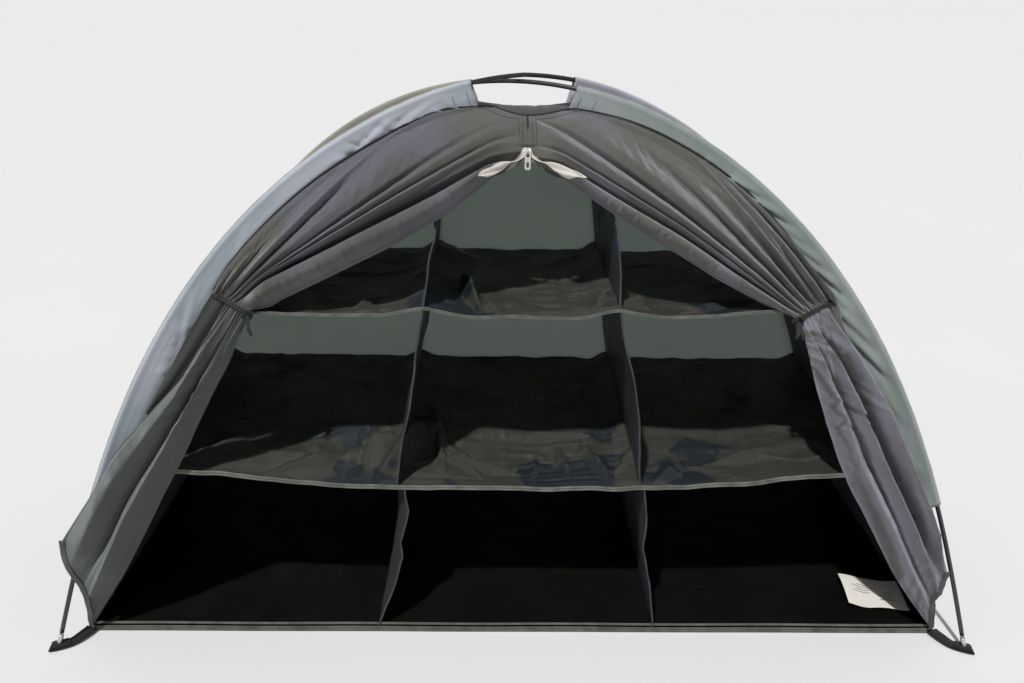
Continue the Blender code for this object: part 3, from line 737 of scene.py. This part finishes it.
# tier: shelf below, shelf above, lowest and highest point, bow of the left and the right divider
TIERS = {"lower": (None, low_shelf, 0.003, SHELF_Z[0], (0.007, -0.004)),
         "middle": (low_shelf, high_shelf, *SHELF_Z, (-0.003, 0.007)),
         "upper": (high_shelf, None, SHELF_Z[1], 0.612, (0.003, 0.003))}
UPRIGHT = ((0, 1), (0, 0))
LEANS = {"lower_left": ((0, 0.25, 0.52, 0.62, 0.85, 1.0), (0, 0.008, 0.013, 0.007, 0.017, 0.01)),
         "lower_right": ((0, 0.35, 0.6, 0.8, 1.0), (0, 0.004, 0.001, 0.005, 0.004))}
for tier, (tier_name, (under, over, z0, z1, bows)) in enumerate(TIERS.items()):
    for (hand, s), bow in zip(SIDES.items(), bows):
        name = tier_name + "_" + hand
        make_divider(name, s, DIVIDER_X[tier], DIVIDER_X[tier + 1], under, over, z0, z1, 41 + 2 * tier + s, bow,
                     LEANS.get(name, UPRIGHT))


# ---- header and upper door
RISE_ZIP = rise_at(ZIP_TOP)
RISE_TAPE, RISE_HEAD = RISE_ZIP + 0.0175, RISE_ZIP + 0.065  # foot and head of the header's middle seam
DOOR_RISE = 0.7235  # where the door's top seam leaves the corner seam
TIES = {"left": (0.335, 0.377), "right": (0.34, 0.386)}  # inner and outer end of each tie
TIE_INNER, TIE_OUTER = 0.4405, 0.4655  # the tie slopes up towards the pole
HEADER_DIP = {"left": (11.5, 0.055), "right": (6.5, 0.062)}  # curve of the header's top seam, and its half width
GROOVE = 0.032  # depth of the gap between door and facing
GATHER = 0.0085  # how far the cloth in the tie stands off the body


def door_outline(hand, side, outer, places):
    """Unrolled outline of the cloth above the tie: up the corner seam, along the top, down to the zip."""
    rises = np.linspace(TIE_OUTER, DOOR_RISE, 60)
    seam = points_of(side * (at_rise(rises)[0] + overlap(hand, rises)), rises)
    seam[:, 0] += (side * outer - seam[0, 0]) * (1 - smooth((rises - rises[0]) / 0.05))
    curve, half = HEADER_DIP[hand]
    off = np.linspace(half, 0, 20)
    top = points_of(ZIP_X + side * off, np.minimum(RISE_HEAD + curve * off ** 2, TOP_RISE - 0.002))
    return spaced(np.vstack([seam, top, [(ZIP_X, RISE_ZIP)]]), places)


def pleat(place, centre, width, lean, height):
    """One fold across the gather: a round ridge, steeper on one side, or a flat-bottomed valley."""
    off = place - centre
    half = np.where(off > 0, width * (1 - lean), width * (1 + lean))
    return height * np.exp(-np.abs(off / half) ** (1.6 if height > 0 else 3.0))


def gathered(place):
    """Stand-off of the small pleats inside the tie."""
    return GATHER + 0.0016 * np.sin(place * 40 + 2.5 * np.sin(place * 9))


def opening(rho):
    """How far folds have opened at a distance from the tie."""
    return 0.3 + 0.7 * smooth(rho * 5)


def make_door(hand, side, folds, share, bow, bow_end, groove, mat):
    """Cloth hung from header and zip into the tie. Each fold is (place, width, height, reach, lean).

    A pair of places makes a fold that slides across on its way up from the tie.
    """
    inner, outer = TIES[hand]
    count, steps = 300, 130
    place = 1 - (1 - unit(count)[None]) ** 1.3  # closer together towards the zip
    rho = unit(steps)[:, None]  # 0 at the tie, 1 at the outline
    held_at = share * place[0]
    tie = points_of(side * lerp(outer, inner, held_at), lerp(TIE_OUTER, TIE_INNER, held_at))
    flat = lerp(tie, door_outline(hand, side, outer, place[0]), rho[..., None])
    x, rise = flat[..., 0], flat[..., 1]
    rise += bow * smooth(rho / bow_end) * smooth((1 - rho) / 0.15) * place ** 5
    out = 0.006 + 0.006 * arch(rho) * arch(place ** 0.8)
    swayed = place + 0.01 * np.sin(5 * rho + side) * rho * (1 - place ** 6)
    for centre, width, height, reach, lean in folds:
        if isinstance(centre, tuple):
            centre = lerp(*centre, rho)
        fade = np.clip(1 - (rho / reach) ** 1.5, 0, 1) * opening(rho)
        out += pleat(swayed, centre, width, lean, height) * fade
    out -= GROOVE * smooth((place - groove) / 0.007) * opening(rho)
    out += 0.0022 * np.sin(place * 75 + side) * (1 - rho) * smooth((0.22 - rho) / 0.22)
    drag = points_of(x * 0.5 + rise, x - side * rise * 0.9)
    out += 0.0016 * ripple(drag, (0.07, 0.022, 1), 51 + side) * arch(rho ** 0.8)
    small = points_of(x * side * 1.4 + rise * 0.6, rise * 0.4)
    pinched = hump(rho, 0.62, 0.16) * hump(place, 0.8, 0.1) + 0.25 * hump(rho, 0.5, 0.2)
    out += 0.002 * ripple(small, (0.006, 0.03, 1), 57 + side) * pinched
    held = lerp(0.0052, 0.0012, smooth((place - 0.88) / 0.1))
    out = lerp(held, out, smooth((1 - rho) * 9) * smooth(place * 12))
    grid = on_front(x, rise, lerp(gathered(place), out, smooth(rho * 22)))
    cloth_piece("door_cloth_" + hand, grid, mat,
                replaces=[part + hand for part in ("header_", "door_flap_", "door_gather_")])
    rim = int(count * 0.87)  # the piping ends where the zip's tape begins
    swept("door_piping_" + hand, grid[-1, 2:rim] + (0, -0.0004, 0.0006), (0.0022, 0.0016), (0.0, -0.8, 0.6),
          PIPING_DARK)
    stitches("door_seam_stitches_" + hand,
             [(grid[-5, 6:rim] + (0, -0.0007, 0.0004), (side * 0.1, -0.8, 0.55))])
    return flat


LEFT_FOLDS = [(0.1, 0.06, 0.005, 0.34, 0.2), (0.19, 0.02, -0.01, 0.36, 0.0), (0.31, 0.05, 0.008, 0.42, 0.3),
    (0.41, 0.022, -0.01, 0.4, 0.0), (0.61, 0.09, 0.014, 0.9, 0.3), (0.7, 0.026, -0.02, 0.55, 0.0),
    (0.8, 0.055, 0.009, 0.9, 0.2), (0.866, 0.013, -0.014, 0.95, 0.0), (0.903, 0.02, 0.011, 1.2, 0.3),
    (0.927, 0.006, -0.011, 1.2, 0.0), (0.948, 0.014, 0.013, 1.5, 0.3)]
RIGHT_FOLDS = [((0.06, 0.3), 0.04, 0.018, 0.95, 0.2), ((0.15, 0.42), 0.036, -0.026, 0.9, 0.0),
    ((0.28, 0.5), 0.06, 0.014, 0.85, 0.3), (0.4, 0.026, -0.014, 0.55, 0.0), (0.5, 0.012, 0.005, 1.2, 0.0),
    (0.585, 0.055, -0.022, 0.62, 0.0), (0.7, 0.05, 0.011, 0.75, 0.3), (0.765, 0.02, -0.013, 0.75, 0.0),
    (0.825, 0.034, 0.014, 1.2, 0.3), (0.878, 0.013, -0.022, 1.1, 0.0), (0.922, 0.028, 0.015, 1.35, 0.3),
    (0.953, 0.0065, -0.015, 1.2, 0.0), (0.968, 0.01, 0.011, 1.5, 0.2)]
left_flat = make_door("left", LEFT, LEFT_FOLDS, 0.55, 0.012, 0.12, 0.97, PANEL)
right_flat = make_door("right", RIGHT, RIGHT_FOLDS, 0.85, 0.0125, 0.5, 0.983, PANEL_RIGHT_LIT)


def make_facing(hand, side, flat, width, height, mat):
    """Turned-back edge of the door: a soft roll from the tie up to the zip tape."""
    rho = np.linspace(0, 0.93, 150)[:, None]
    c = unit(30)[None]
    inner, outer = TIES[hand]
    along_tie = np.array([-side * (outer - inner), TIE_INNER - TIE_OUTER])
    along_tie /= np.linalg.norm(along_tie)
    away = lerp(along_tie, np.array([-side * 0.47, -0.883]), smooth(rho / 0.1))
    width = np.interp(rho, FACING_AT, width)
    points = spaced(flat[:, -1], rho[:, 0])[:, None] + away[:, None] * (width * c)[..., None]
    ends = smooth(rho * 10) * smooth((0.97 - rho) * 9)
    crease = 0.0016 * ripple(points * [1, 0.5], (0.012, 0.05, 1), 61 + side) * arch(c)
    for k in range(11):
        spot, slant = 0.1 + 0.062 * k + 0.02 * math.sin(k * 2.3 + side), 0.01 * math.sin(k * 1.7)
        mark = rho - spot + slant * (c - 0.5)
        crease += 0.0026 * (hump(mark, 0, 0.004) - hump(mark, 0.009, 0.005)) * hump(c, 0.62, 0.22)
    roll = (height + 0.002 * np.sin(rho * 17)) * arch(c ** 0.72)
    gap = (GROOVE - 0.006) * opening(rho) * (1 - smooth((c - 0.07) / 0.09))
    out = (roll + crease - gap) * ends - 0.008 * (c * ends) ** 3 + 0.002 + 0.0065 * (1 - smooth(rho * 12))
    grid = on_front(points[..., 0], points[..., 1], out)
    cloth_piece("facing_cloth_" + hand, grid, mat,
                replaces=["door_facing_" + hand])
    stitches("facing_stitches_" + hand, [(grid[4:-10, -4] + (0, -0.0007, 0), (0, -0.9, -0.3))])


FACING_AT = (0, 0.1, 0.3, 0.5, 0.7, 0.8, 0.87, 0.93)  # distances from the tie, for the widths below
make_facing("left", LEFT, left_flat, (0.018, 0.032, 0.033, 0.0335, 0.028, 0.019, 0.011, 0.004), 0.019, PANEL_BACK)
make_facing("right", RIGHT, right_flat, (0.007, 0.011, 0.019, 0.0205, 0.016, 0.012, 0.008, 0.003), 0.013,
            PANEL_RIGHT_LIT)

# edges of the open zip's white tape, as (distance from the zip's middle, distance up the front)
LEAF_OUTER = [(0.0062, 0.652), (0.009, 0.642), (0.0128, 0.637), (0.0246, 0.629), (0.0418, 0.623), (0.0585, 0.616),
    (0.0725, 0.607)]
LEAF_INNER = [(0.0006, 0.652), (0.0016, 0.643), (0.005, 0.638), (0.0115, 0.634), (0.0206, 0.626), (0.031, 0.616),
    (0.0418, 0.609), (0.0505, 0.606)]


def make_zip_tape(hand, side):
    """White tape of the open zip: narrow round the slider, then turning over into a broad leaf."""
    k, c = unit(90), unit(16)
    outer, inner = (spaced(np.array(edge), k) for edge in (LEAF_OUTER, LEAF_INNER))
    flat = lerp(outer[:, None], inner[:, None], c[None, :, None])
    k, c = k[:, None], c[None]
    out = lerp(0.0016, 0.0155, smooth((k - 0.28) / 0.3)) + 0.005 * arch(c) * smooth((k - 0.25) * 3)
    out += 0.0014 * np.sin(c * 9 + k * 14 + side) * smooth((k - 0.4) * 3)
    grid = on_front(ZIP_X + side * flat[..., 0], flat[..., 1], out)
    cloth_piece("zip_tape_cloth_" + hand, grid, ZIP_TAPE,
                replaces=["zip_tape_" + hand])
    stitches("zip_tape_stitches_" + hand, [(grid[6:-2, 3] + (0, -0.0008, 0.0006), (0, -0.8, 0.6))])


for hand, s in SIDES.items():
    make_zip_tape(hand, s)


def make_header_band():
    """Flat-felled seam down the middle of the header, with its rows of stitching and boxed bars."""
    rises = np.linspace(RISE_TAPE, RISE_HEAD - 0.001, 30)
    out = lerp(0.003, 0.0046, smooth((rises - rises[0]) / 0.02))
    grid = np.stack([on_front(ZIP_X + x, rises, out) for x in np.linspace(-0.0115, 0.0115, 13)], axis=1)
    cloth_piece("header_band_cloth", grid, PANEL,
                replaces=["header_seam_band"])
    rows = [on_front(ZIP_X + x, rises, out + 0.0005) for x in (-0.0105, -0.0062, 0.0062, 0.0105)]
    bars = np.linspace(-0.0105, 0.0105, 12)
    rows += [on_front(ZIP_X + bars, rises[k], out[k] + 0.0006) for k in (1, 18, 21, 28)]
    stitches("header_band_stitches", [(row, (0.0, -0.55, 0.83)) for row in rows])


make_header_band()


# ---- roof between the sleeves' upper ends
def make_roof():
    """Cloth over the crown, from the header's top seam to the back, lifted at its four corners."""
    t, u = np.meshgrid(np.linspace(-1, 0.8, 50), np.linspace(-1, 1, 61), indexing="ij")
    y = t * float(np.interp(RISE_HEAD - 0.003, RISE, PROFILE[:, 1]))
    z = np.interp(np.abs(y), PROFILE[::-1, 1], PROFILE[::-1, 2]) + lerp(0.0006, 0.003, smooth((t + 1) / 0.6))
    half = lerp(0.06, half_at(HEADER_TOP)[0] + 0.022, smooth(np.abs(t)) ** 1.5)
    lift = 0.0055 * (np.abs(u) * half / 0.06) ** 2 * (1 - smooth(np.abs(t) * 1.25))
    grid = points_of(u * half, y, z + lift)
    grid[..., 2] += 0.0012 * ripple(grid, (0.012, 0.05, 0.05), 81) * (1 - np.abs(u))
    cloth_piece("roof_cloth", grid, ROOF, replaces=["roof_patch"])


make_roof()


# ---- ties and lower door
TIE_AXIS = (-0.1925, 0.4265)  # y and z where the ties' ends bend down


# lean and length of each tie's two ends
TIE_ENDS = {"left": ((0.004, 0.0085), (-0.005, 0.0065)), "right": ((0.003, 0.006), (-0.003, 0.005))}


def make_tie(hand, side):
    """Band round the gathered cloth, its knot, and two short ends bent down at TIE_AXIS."""
    inner, outer = TIES[hand]
    u = unit(40)
    x, rise = side * lerp(inner - 0.001, outer, u), lerp(TIE_INNER, TIE_OUTER, u) + 0.001 * arch(u)
    path = on_front(x, rise, lerp(0.012, 0.004, smooth((u - 0.8) / 0.2)) + 0.002 * arch(u))
    facing = (0.0, -0.94, 0.34)
    swept("tie_" + hand, path, (0.0058, 0.0013), facing, TIE,
          replaces=["tie_band_" + hand])
    stitches("tie_stitches_" + hand, [(path[2:-2] + (0, -0.0009, 0.0004), facing)])
    knot = path[0] + (0.0, -0.0025, -0.0015)
    a = math.tau * 2.3 * unit(70)
    turns = knot + points_of(0.0046 * np.cos(a), -0.0026 * np.sin(a * 1.5 + 0.4), 0.0042 * np.sin(a))
    swept("tie_knot_cloth_" + hand, turns, (0.0046, 0.0015), (0, -1, 0.05), TIE_END,
          replaces=["tie_knot_" + hand])
    root = knot + (-side * 0.001, -0.0015, 0.0)
    for index, (lean, length) in enumerate(TIE_ENDS[hand]):
        bend_at = np.array([root[0] + lean, *TIE_AXIS])
        path = rounded(np.array([root, bend_at, bend_at + (lean * 0.6, 0.0006, -length)]), 24)
        ribbon = swept("tie_end_%s_%d" % (hand, index + 1), path, (0.0046, 0.0011), (0.0, -1, 0.7),
                       TIE_END, body=None, replaces=["tie_tail_" + hand] if index == 0 else ())
        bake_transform(ribbon)


def make_under_layer(outer, inner):
    """Strip of the door's cloth behind the left loose part's outer edge, seen beside the sleeve, painted darker as
    shade.
    """
    outer, inner = (rounded(np.array(line), 60)[:, None] for line in (outer, inner))
    across = unit(24)[None]
    grid = lerp(outer, inner, across[..., None]) * (LEFT, 1, 1)
    grid[..., 1] += 0.002 * np.sin(across * 9 + np.linspace(0, 3, 60)[:, None])
    return cloth_piece("door_under_cloth_left", grid, PANEL_SHADE, body=None)


def make_tail(hand, side, outer, inner, hem, folds, pleats, share, mat, under=None):
    """Loose cloth below the tie, between its outer and inner edges, down to the hem from corner to corner.

    Each fold runs from place high at the tie to place low at the hem (0 outer edge, 1 inner edge).
    """
    rows, count = 150, 130
    down, place = unit(rows)[:, None], unit(count)[None]
    mirror = np.array([side, 1, 1])
    inside, outside = TIES[hand]
    tie = on_front(side * np.array([lerp(outside, inside, share), inside]),
                   np.array([lerp(TIE_OUTER, TIE_INNER, share), TIE_INNER]), GATHER) * mirror
    outer, inner, hem = (rounded(np.array(line) * mirror, number) for line, number in
                         (([tie[0], *outer, hem[0]], rows), ([tie[1], *inner, hem[-1]], rows), (hem, count)))
    grid = lerp(outer[:, None], inner[:, None], place[..., None])
    grid += (hem - lerp(hem[0], hem[-1], place[0, :, None])) * down[..., None] ** 2
    out = 0.01 * arch(place) * arch(down ** 0.7)
    for high, low, width, height, near, far, lean in folds:
        centre = lerp(high, low, down ** 0.7)
        out += pleat(place, centre, width, lean, height) * np.interp(down, [0, 0.25, 0.8, 1], [near, 1, 1, far])
    for centre, width, height, reach in pleats:
        out += pleat(place, centre, width, 0.2, height) * np.exp(-(down / reach) ** 2)
    out += 0.0028 * ripple(grid, 0.055, 71 + side) * smooth(down * 4) * (1 - 0.8 * smooth((down - 0.8) * 5))
    x, z = grid[..., 0], grid[..., 2]
    cross = points_of(x - side * 0.4 * z, z + side * 0.5 * x)
    out += 0.0075 * ripple(cross, (0.05, 0.012, 1), 75 + side) * hump(down, 0.27, 0.1) * arch(place)
    outward = np.array([side * 0.22, -0.96, 0.16])
    loose = smooth(down * 7)
    grid += outward * (out * loose + (gathered(place) - GATHER) * (1 - loose))[..., None]
    parts = [make_under_layer(*under)] if under else []
    parts.append(cloth_piece("door_lower_cloth_" + hand, grid, mat,
                             body=None, replaces=["door_tail_" + hand]))
    parts.append(swept("door_hem_" + hand, grid[-1] + outward * 0.0005, (0.0085, 0.0014),
                       outward, HEM, body=None))
    for part in parts:
        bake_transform(part)


LEFT_OUTER = [(0.384, -0.188, 0.41), (0.412, -0.202, 0.366), (0.4545, -0.216, 0.323), (0.5, -0.233, 0.274),
    (0.523, -0.243, 0.232)]
LEFT_INNER = [(0.3465, -0.182, 0.4145), (0.361, -0.194, 0.38), (0.387, -0.203, 0.337), (0.423, -0.213, 0.265),
    (0.469, -0.22, 0.182), (0.526, -0.225, 0.08)]
LEFT_HEM = [(0.57, -0.248, 0.162), (0.57, -0.248, 0.139), (0.565, -0.245, 0.105), (0.556, -0.24, 0.068),
    (0.56, -0.234, 0.041), (0.568, -0.228, 0.01)]
LEFT_TAIL = [(0.02, 0.00, 0.06, -0.006, 0.3, 0.0, 0.0), (0.34, 0.26, 0.15, 0.018, 0.5, 0.2, 0.3),
    (0.6, 0.46, 0.05, -0.01, 0.5, 0.1, 0.0), (0.78, 0.64, 0.1, 0.014, 0.6, 0.2, -0.3),
    (1.0, 0.99, 0.06, -0.014, 0.6, 0.2, 0.0)]
LEFT_PLEATS = [(0.14, 0.06, 0.008, 0.2), (0.36, 0.03, -0.01, 0.16), (0.55, 0.05, 0.008, 0.15),
    (0.74, 0.03, -0.014, 0.14), (0.9, 0.04, 0.008, 0.1)]
LEFT_UNDER = ([(0.3765, -0.16, 0.463), (0.405, -0.183, 0.416), (0.43, -0.198, 0.371), (0.457, -0.213, 0.326)],
              [(0.35, -0.16, 0.459), (0.386, -0.182, 0.391), (0.418, -0.197, 0.348), (0.4545, -0.212, 0.312)])
RIGHT_OUTER = [(0.396, -0.18, 0.429), (0.428, -0.2, 0.382), (0.46, -0.218, 0.318), (0.483, -0.228, 0.268),
    (0.506, -0.235, 0.221), (0.532, -0.241, 0.165)]
RIGHT_INNER = [(0.3565, -0.19, 0.399), (0.368, -0.202, 0.36), (0.413, -0.213, 0.251), (0.473, -0.22, 0.151),
    (0.517, -0.226, 0.076)]
RIGHT_HEM = [(0.554, -0.246, 0.121), (0.555, -0.245, 0.103), (0.55, -0.24, 0.071), (0.555, -0.234, 0.046),
    (0.565, -0.228, 0.013)]
RIGHT_TAIL = [(0.05, 0.00, 0.05, -0.012, 0.6, 0.05, 0.0), (0.32, 0.02, 0.12, 0.03, 0.9, 0.08, 0.2),
    (0.6, 0.14, 0.055, -0.032, 0.9, 0.05, 0.0), (0.73, 0.34, 0.045, 0.024, 0.9, 0.1, 0.2),
    (0.83, 0.5, 0.04, -0.018, 0.6, 0.1, 0.0), (0.93, 0.72, 0.1, 0.014, 0.5, 0.15, 0.2),
    (1.0, 0.99, 0.05, -0.012, 0.6, 0.1, 0.0)]
RIGHT_PLEATS = [(0.16, 0.022, -0.01, 0.22), (0.28, 0.03, 0.006, 0.2), (0.44, 0.022, -0.01, 0.26),
    (0.52, 0.02, 0.007, 0.26), (0.67, 0.018, -0.008, 0.24), (0.9, 0.025, 0.008, 0.16)]
for hand, s in SIDES.items():
    make_tie(hand, s)
make_tail("left", LEFT, LEFT_OUTER, LEFT_INNER, LEFT_HEM, LEFT_TAIL, LEFT_PLEATS, 0.42, PANEL_TAIL_SHADED, LEFT_UNDER)
make_tail("right", RIGHT, RIGHT_OUTER, RIGHT_INNER, RIGHT_HEM, RIGHT_TAIL, RIGHT_PLEATS, 0.0, PANEL_PAINTED_HIGHLIGHTS)


# ---- corner straps
def make_strap(corner):
    """Webbing from the floor's corner, forward and then out to the pole foot, doubled at its end."""
    start, turn, tip = (np.array([x, y, z]) * (*CORNERS[corner], 1) for x, y, z in
                        ((FLOOR_X - 0.004, FLOOR_Y + 0.001, 0.005), (0.58, 0.252, 0.002),
                         (0.6095, 0.2565, 0.0018)))
    k = unit(40)[:, None]
    path = (1 - k) ** 2 * start + 2 * k * (1 - k) * turn + k ** 2 * tip
    path[:, 2] += 0.001 * arch(k[:, 0] * 2) ** 2
    swept("strap_" + corner, path, (0.0165, 0.002), (0, 0, 1), STRAP,
          replaces=["corner_strap_" + corner])
    fold = path[22:-1] + (0, 0, 0.0021)
    fold[-6:, 2] += 0.0012 * arch(unit(6))
    swept("strap_fold_" + corner, fold, (0.015, 0.002), (0, 0, 1), STRAP)
    stitches("strap_stitches_" + corner, [(fold[2:6] + (0, 0, 0.0012), (0, 0, 1))])


for name in CORNERS:
    make_strap(name)


# ---- care label
# grid row, first and last column of each rule printed on the label
LABEL_RULES = ((10, 10, 27), (13, 10, 24), (16, 10, 27), (20, 32, 50), (23, 32, 46), (26, 32, 50), (29, 32, 44),
               (20, 12, 20))


def make_label():
    """Care label with a few plain rules, sewn at the wall, its free end curled up off the floor."""
    u, v = np.meshgrid(unit(60), np.linspace(-1, 1, 40))
    z = 0.0085 + 0.0035 * smooth(u * 2) * smooth((v + 1.2) / 2.2) + 0.008 * smooth((u - 0.6) * 2.2)
    grid = points_of(0.559 - 0.086 * u + 0.003 * v, -0.152 + 0.031 * v + 0.006 * u, z + 0.0015 * np.sin(u * 8 + v * 2))
    cloth_piece("label_piece", grid, LABEL_CLOTH, body="care_label",
                replaces=["care_label"], thick=0.0004)
    for index, (row, first, last) in enumerate(LABEL_RULES):
        swept("label_rule_%d" % (index + 1), grid[row, first:last] + (0, 0, 0.0006), (0.0011, 0.0003), (0, 0, 1),
              LABEL_RULE, body="care_label")


make_label()

# ---- metal parts carried over from the frame
for node_name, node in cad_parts.items():
    if node_name.startswith(("pole_tip", "eyelet", "zip_slider", "zip_puller")):
        node.data.materials.clear()
        node.data.materials.append(STEEL)
        soft_edge = node.modifiers.new("Edges", "BEVEL")
        soft_edge.width = 0.0003
        soft_edge.segments = 2
        soft_edge.limit_method = "ANGLE"


# ---- floor, light and camera
GROUND_GREY, SKY_COLOUR, SKY_STRENGTH = 0.66, (0.93, 0.935, 0.94), 0.42
SUN_HEADING, SUN_WIDTH, SUN_POWER = (0.28, 0.57, -1.0), 2.0, 3.3
CAMERA_PLACE, LENS = (-0.0359, -1.1794, 0.8163), 30.9375
YAW, PITCH, ROLL = -0.0235, 0.3869, 0.0195


def make_stage():
    """Pale even floor and a dim, nearly white world."""
    bpy.ops.mesh.primitive_plane_add(size=400, location=(0, 0, -0.0005))
    ground = bpy.context.object
    ground.name = "ground"
    pale = Shader("pale_floor", (GROUND_GREY,) * 3, 0.9)
    low, high = ((GROUND_GREY + change,) * 3 for change in (-0.004, 0.004))
    pale.feed(pale.bsdf, Base_Color=pale.ramp(pale.noise(2.0), low, high))
    ground.data.materials.append(pale.mat)
    world = bpy.data.worlds.new("studio")
    bpy.context.scene.world = world
    world.use_nodes = True
    sky = world.node_tree.nodes["Background"].inputs
    sky["Color"].default_value = (*SKY_COLOUR, 1)
    sky["Strength"].default_value = SKY_STRENGTH


def make_sun():
    """Even light travelling along its heading, SUN_WIDTH degrees wide."""
    lamp = bpy.data.lights.new("key", "SUN")
    lamp.angle = math.radians(SUN_WIDTH)
    lamp.energy = SUN_POWER
    obj = bpy.data.objects.new("key", lamp)
    obj.rotation_mode = "QUATERNION"
    obj.rotation_quaternion = Vector(SUN_HEADING).to_track_quat("-Z", "Y")
    bpy.context.scene.collection.objects.link(obj)


def make_camera():
    """At the front, a little above the crossing, tipped down by PITCH, with a slight roll (radians)."""
    forward = Vector((-math.sin(YAW) * math.cos(PITCH), math.cos(YAW) * math.cos(PITCH), -math.sin(PITCH)))
    level = Vector((math.cos(YAW), math.sin(YAW), 0.0))
    upright = level.cross(forward)
    right = level * math.cos(ROLL) + upright * math.sin(ROLL)
    up = upright * math.cos(ROLL) - level * math.sin(ROLL)
    data = bpy.data.cameras.new("camera")
    data.lens = LENS
    data.sensor_width = 36
    camera = bpy.data.objects.new("camera", data)
    bpy.context.scene.collection.objects.link(camera)
    turn = Matrix((right, up, -forward)).transposed().to_4x4()
    camera.matrix_world = Matrix.Translation(CAMERA_PLACE) @ turn
    bpy.context.scene.camera = camera


make_stage()
make_sun()
make_camera()
bpy.context.scene.view_settings.view_transform = "Standard"

bpy.context.view_layer.update()
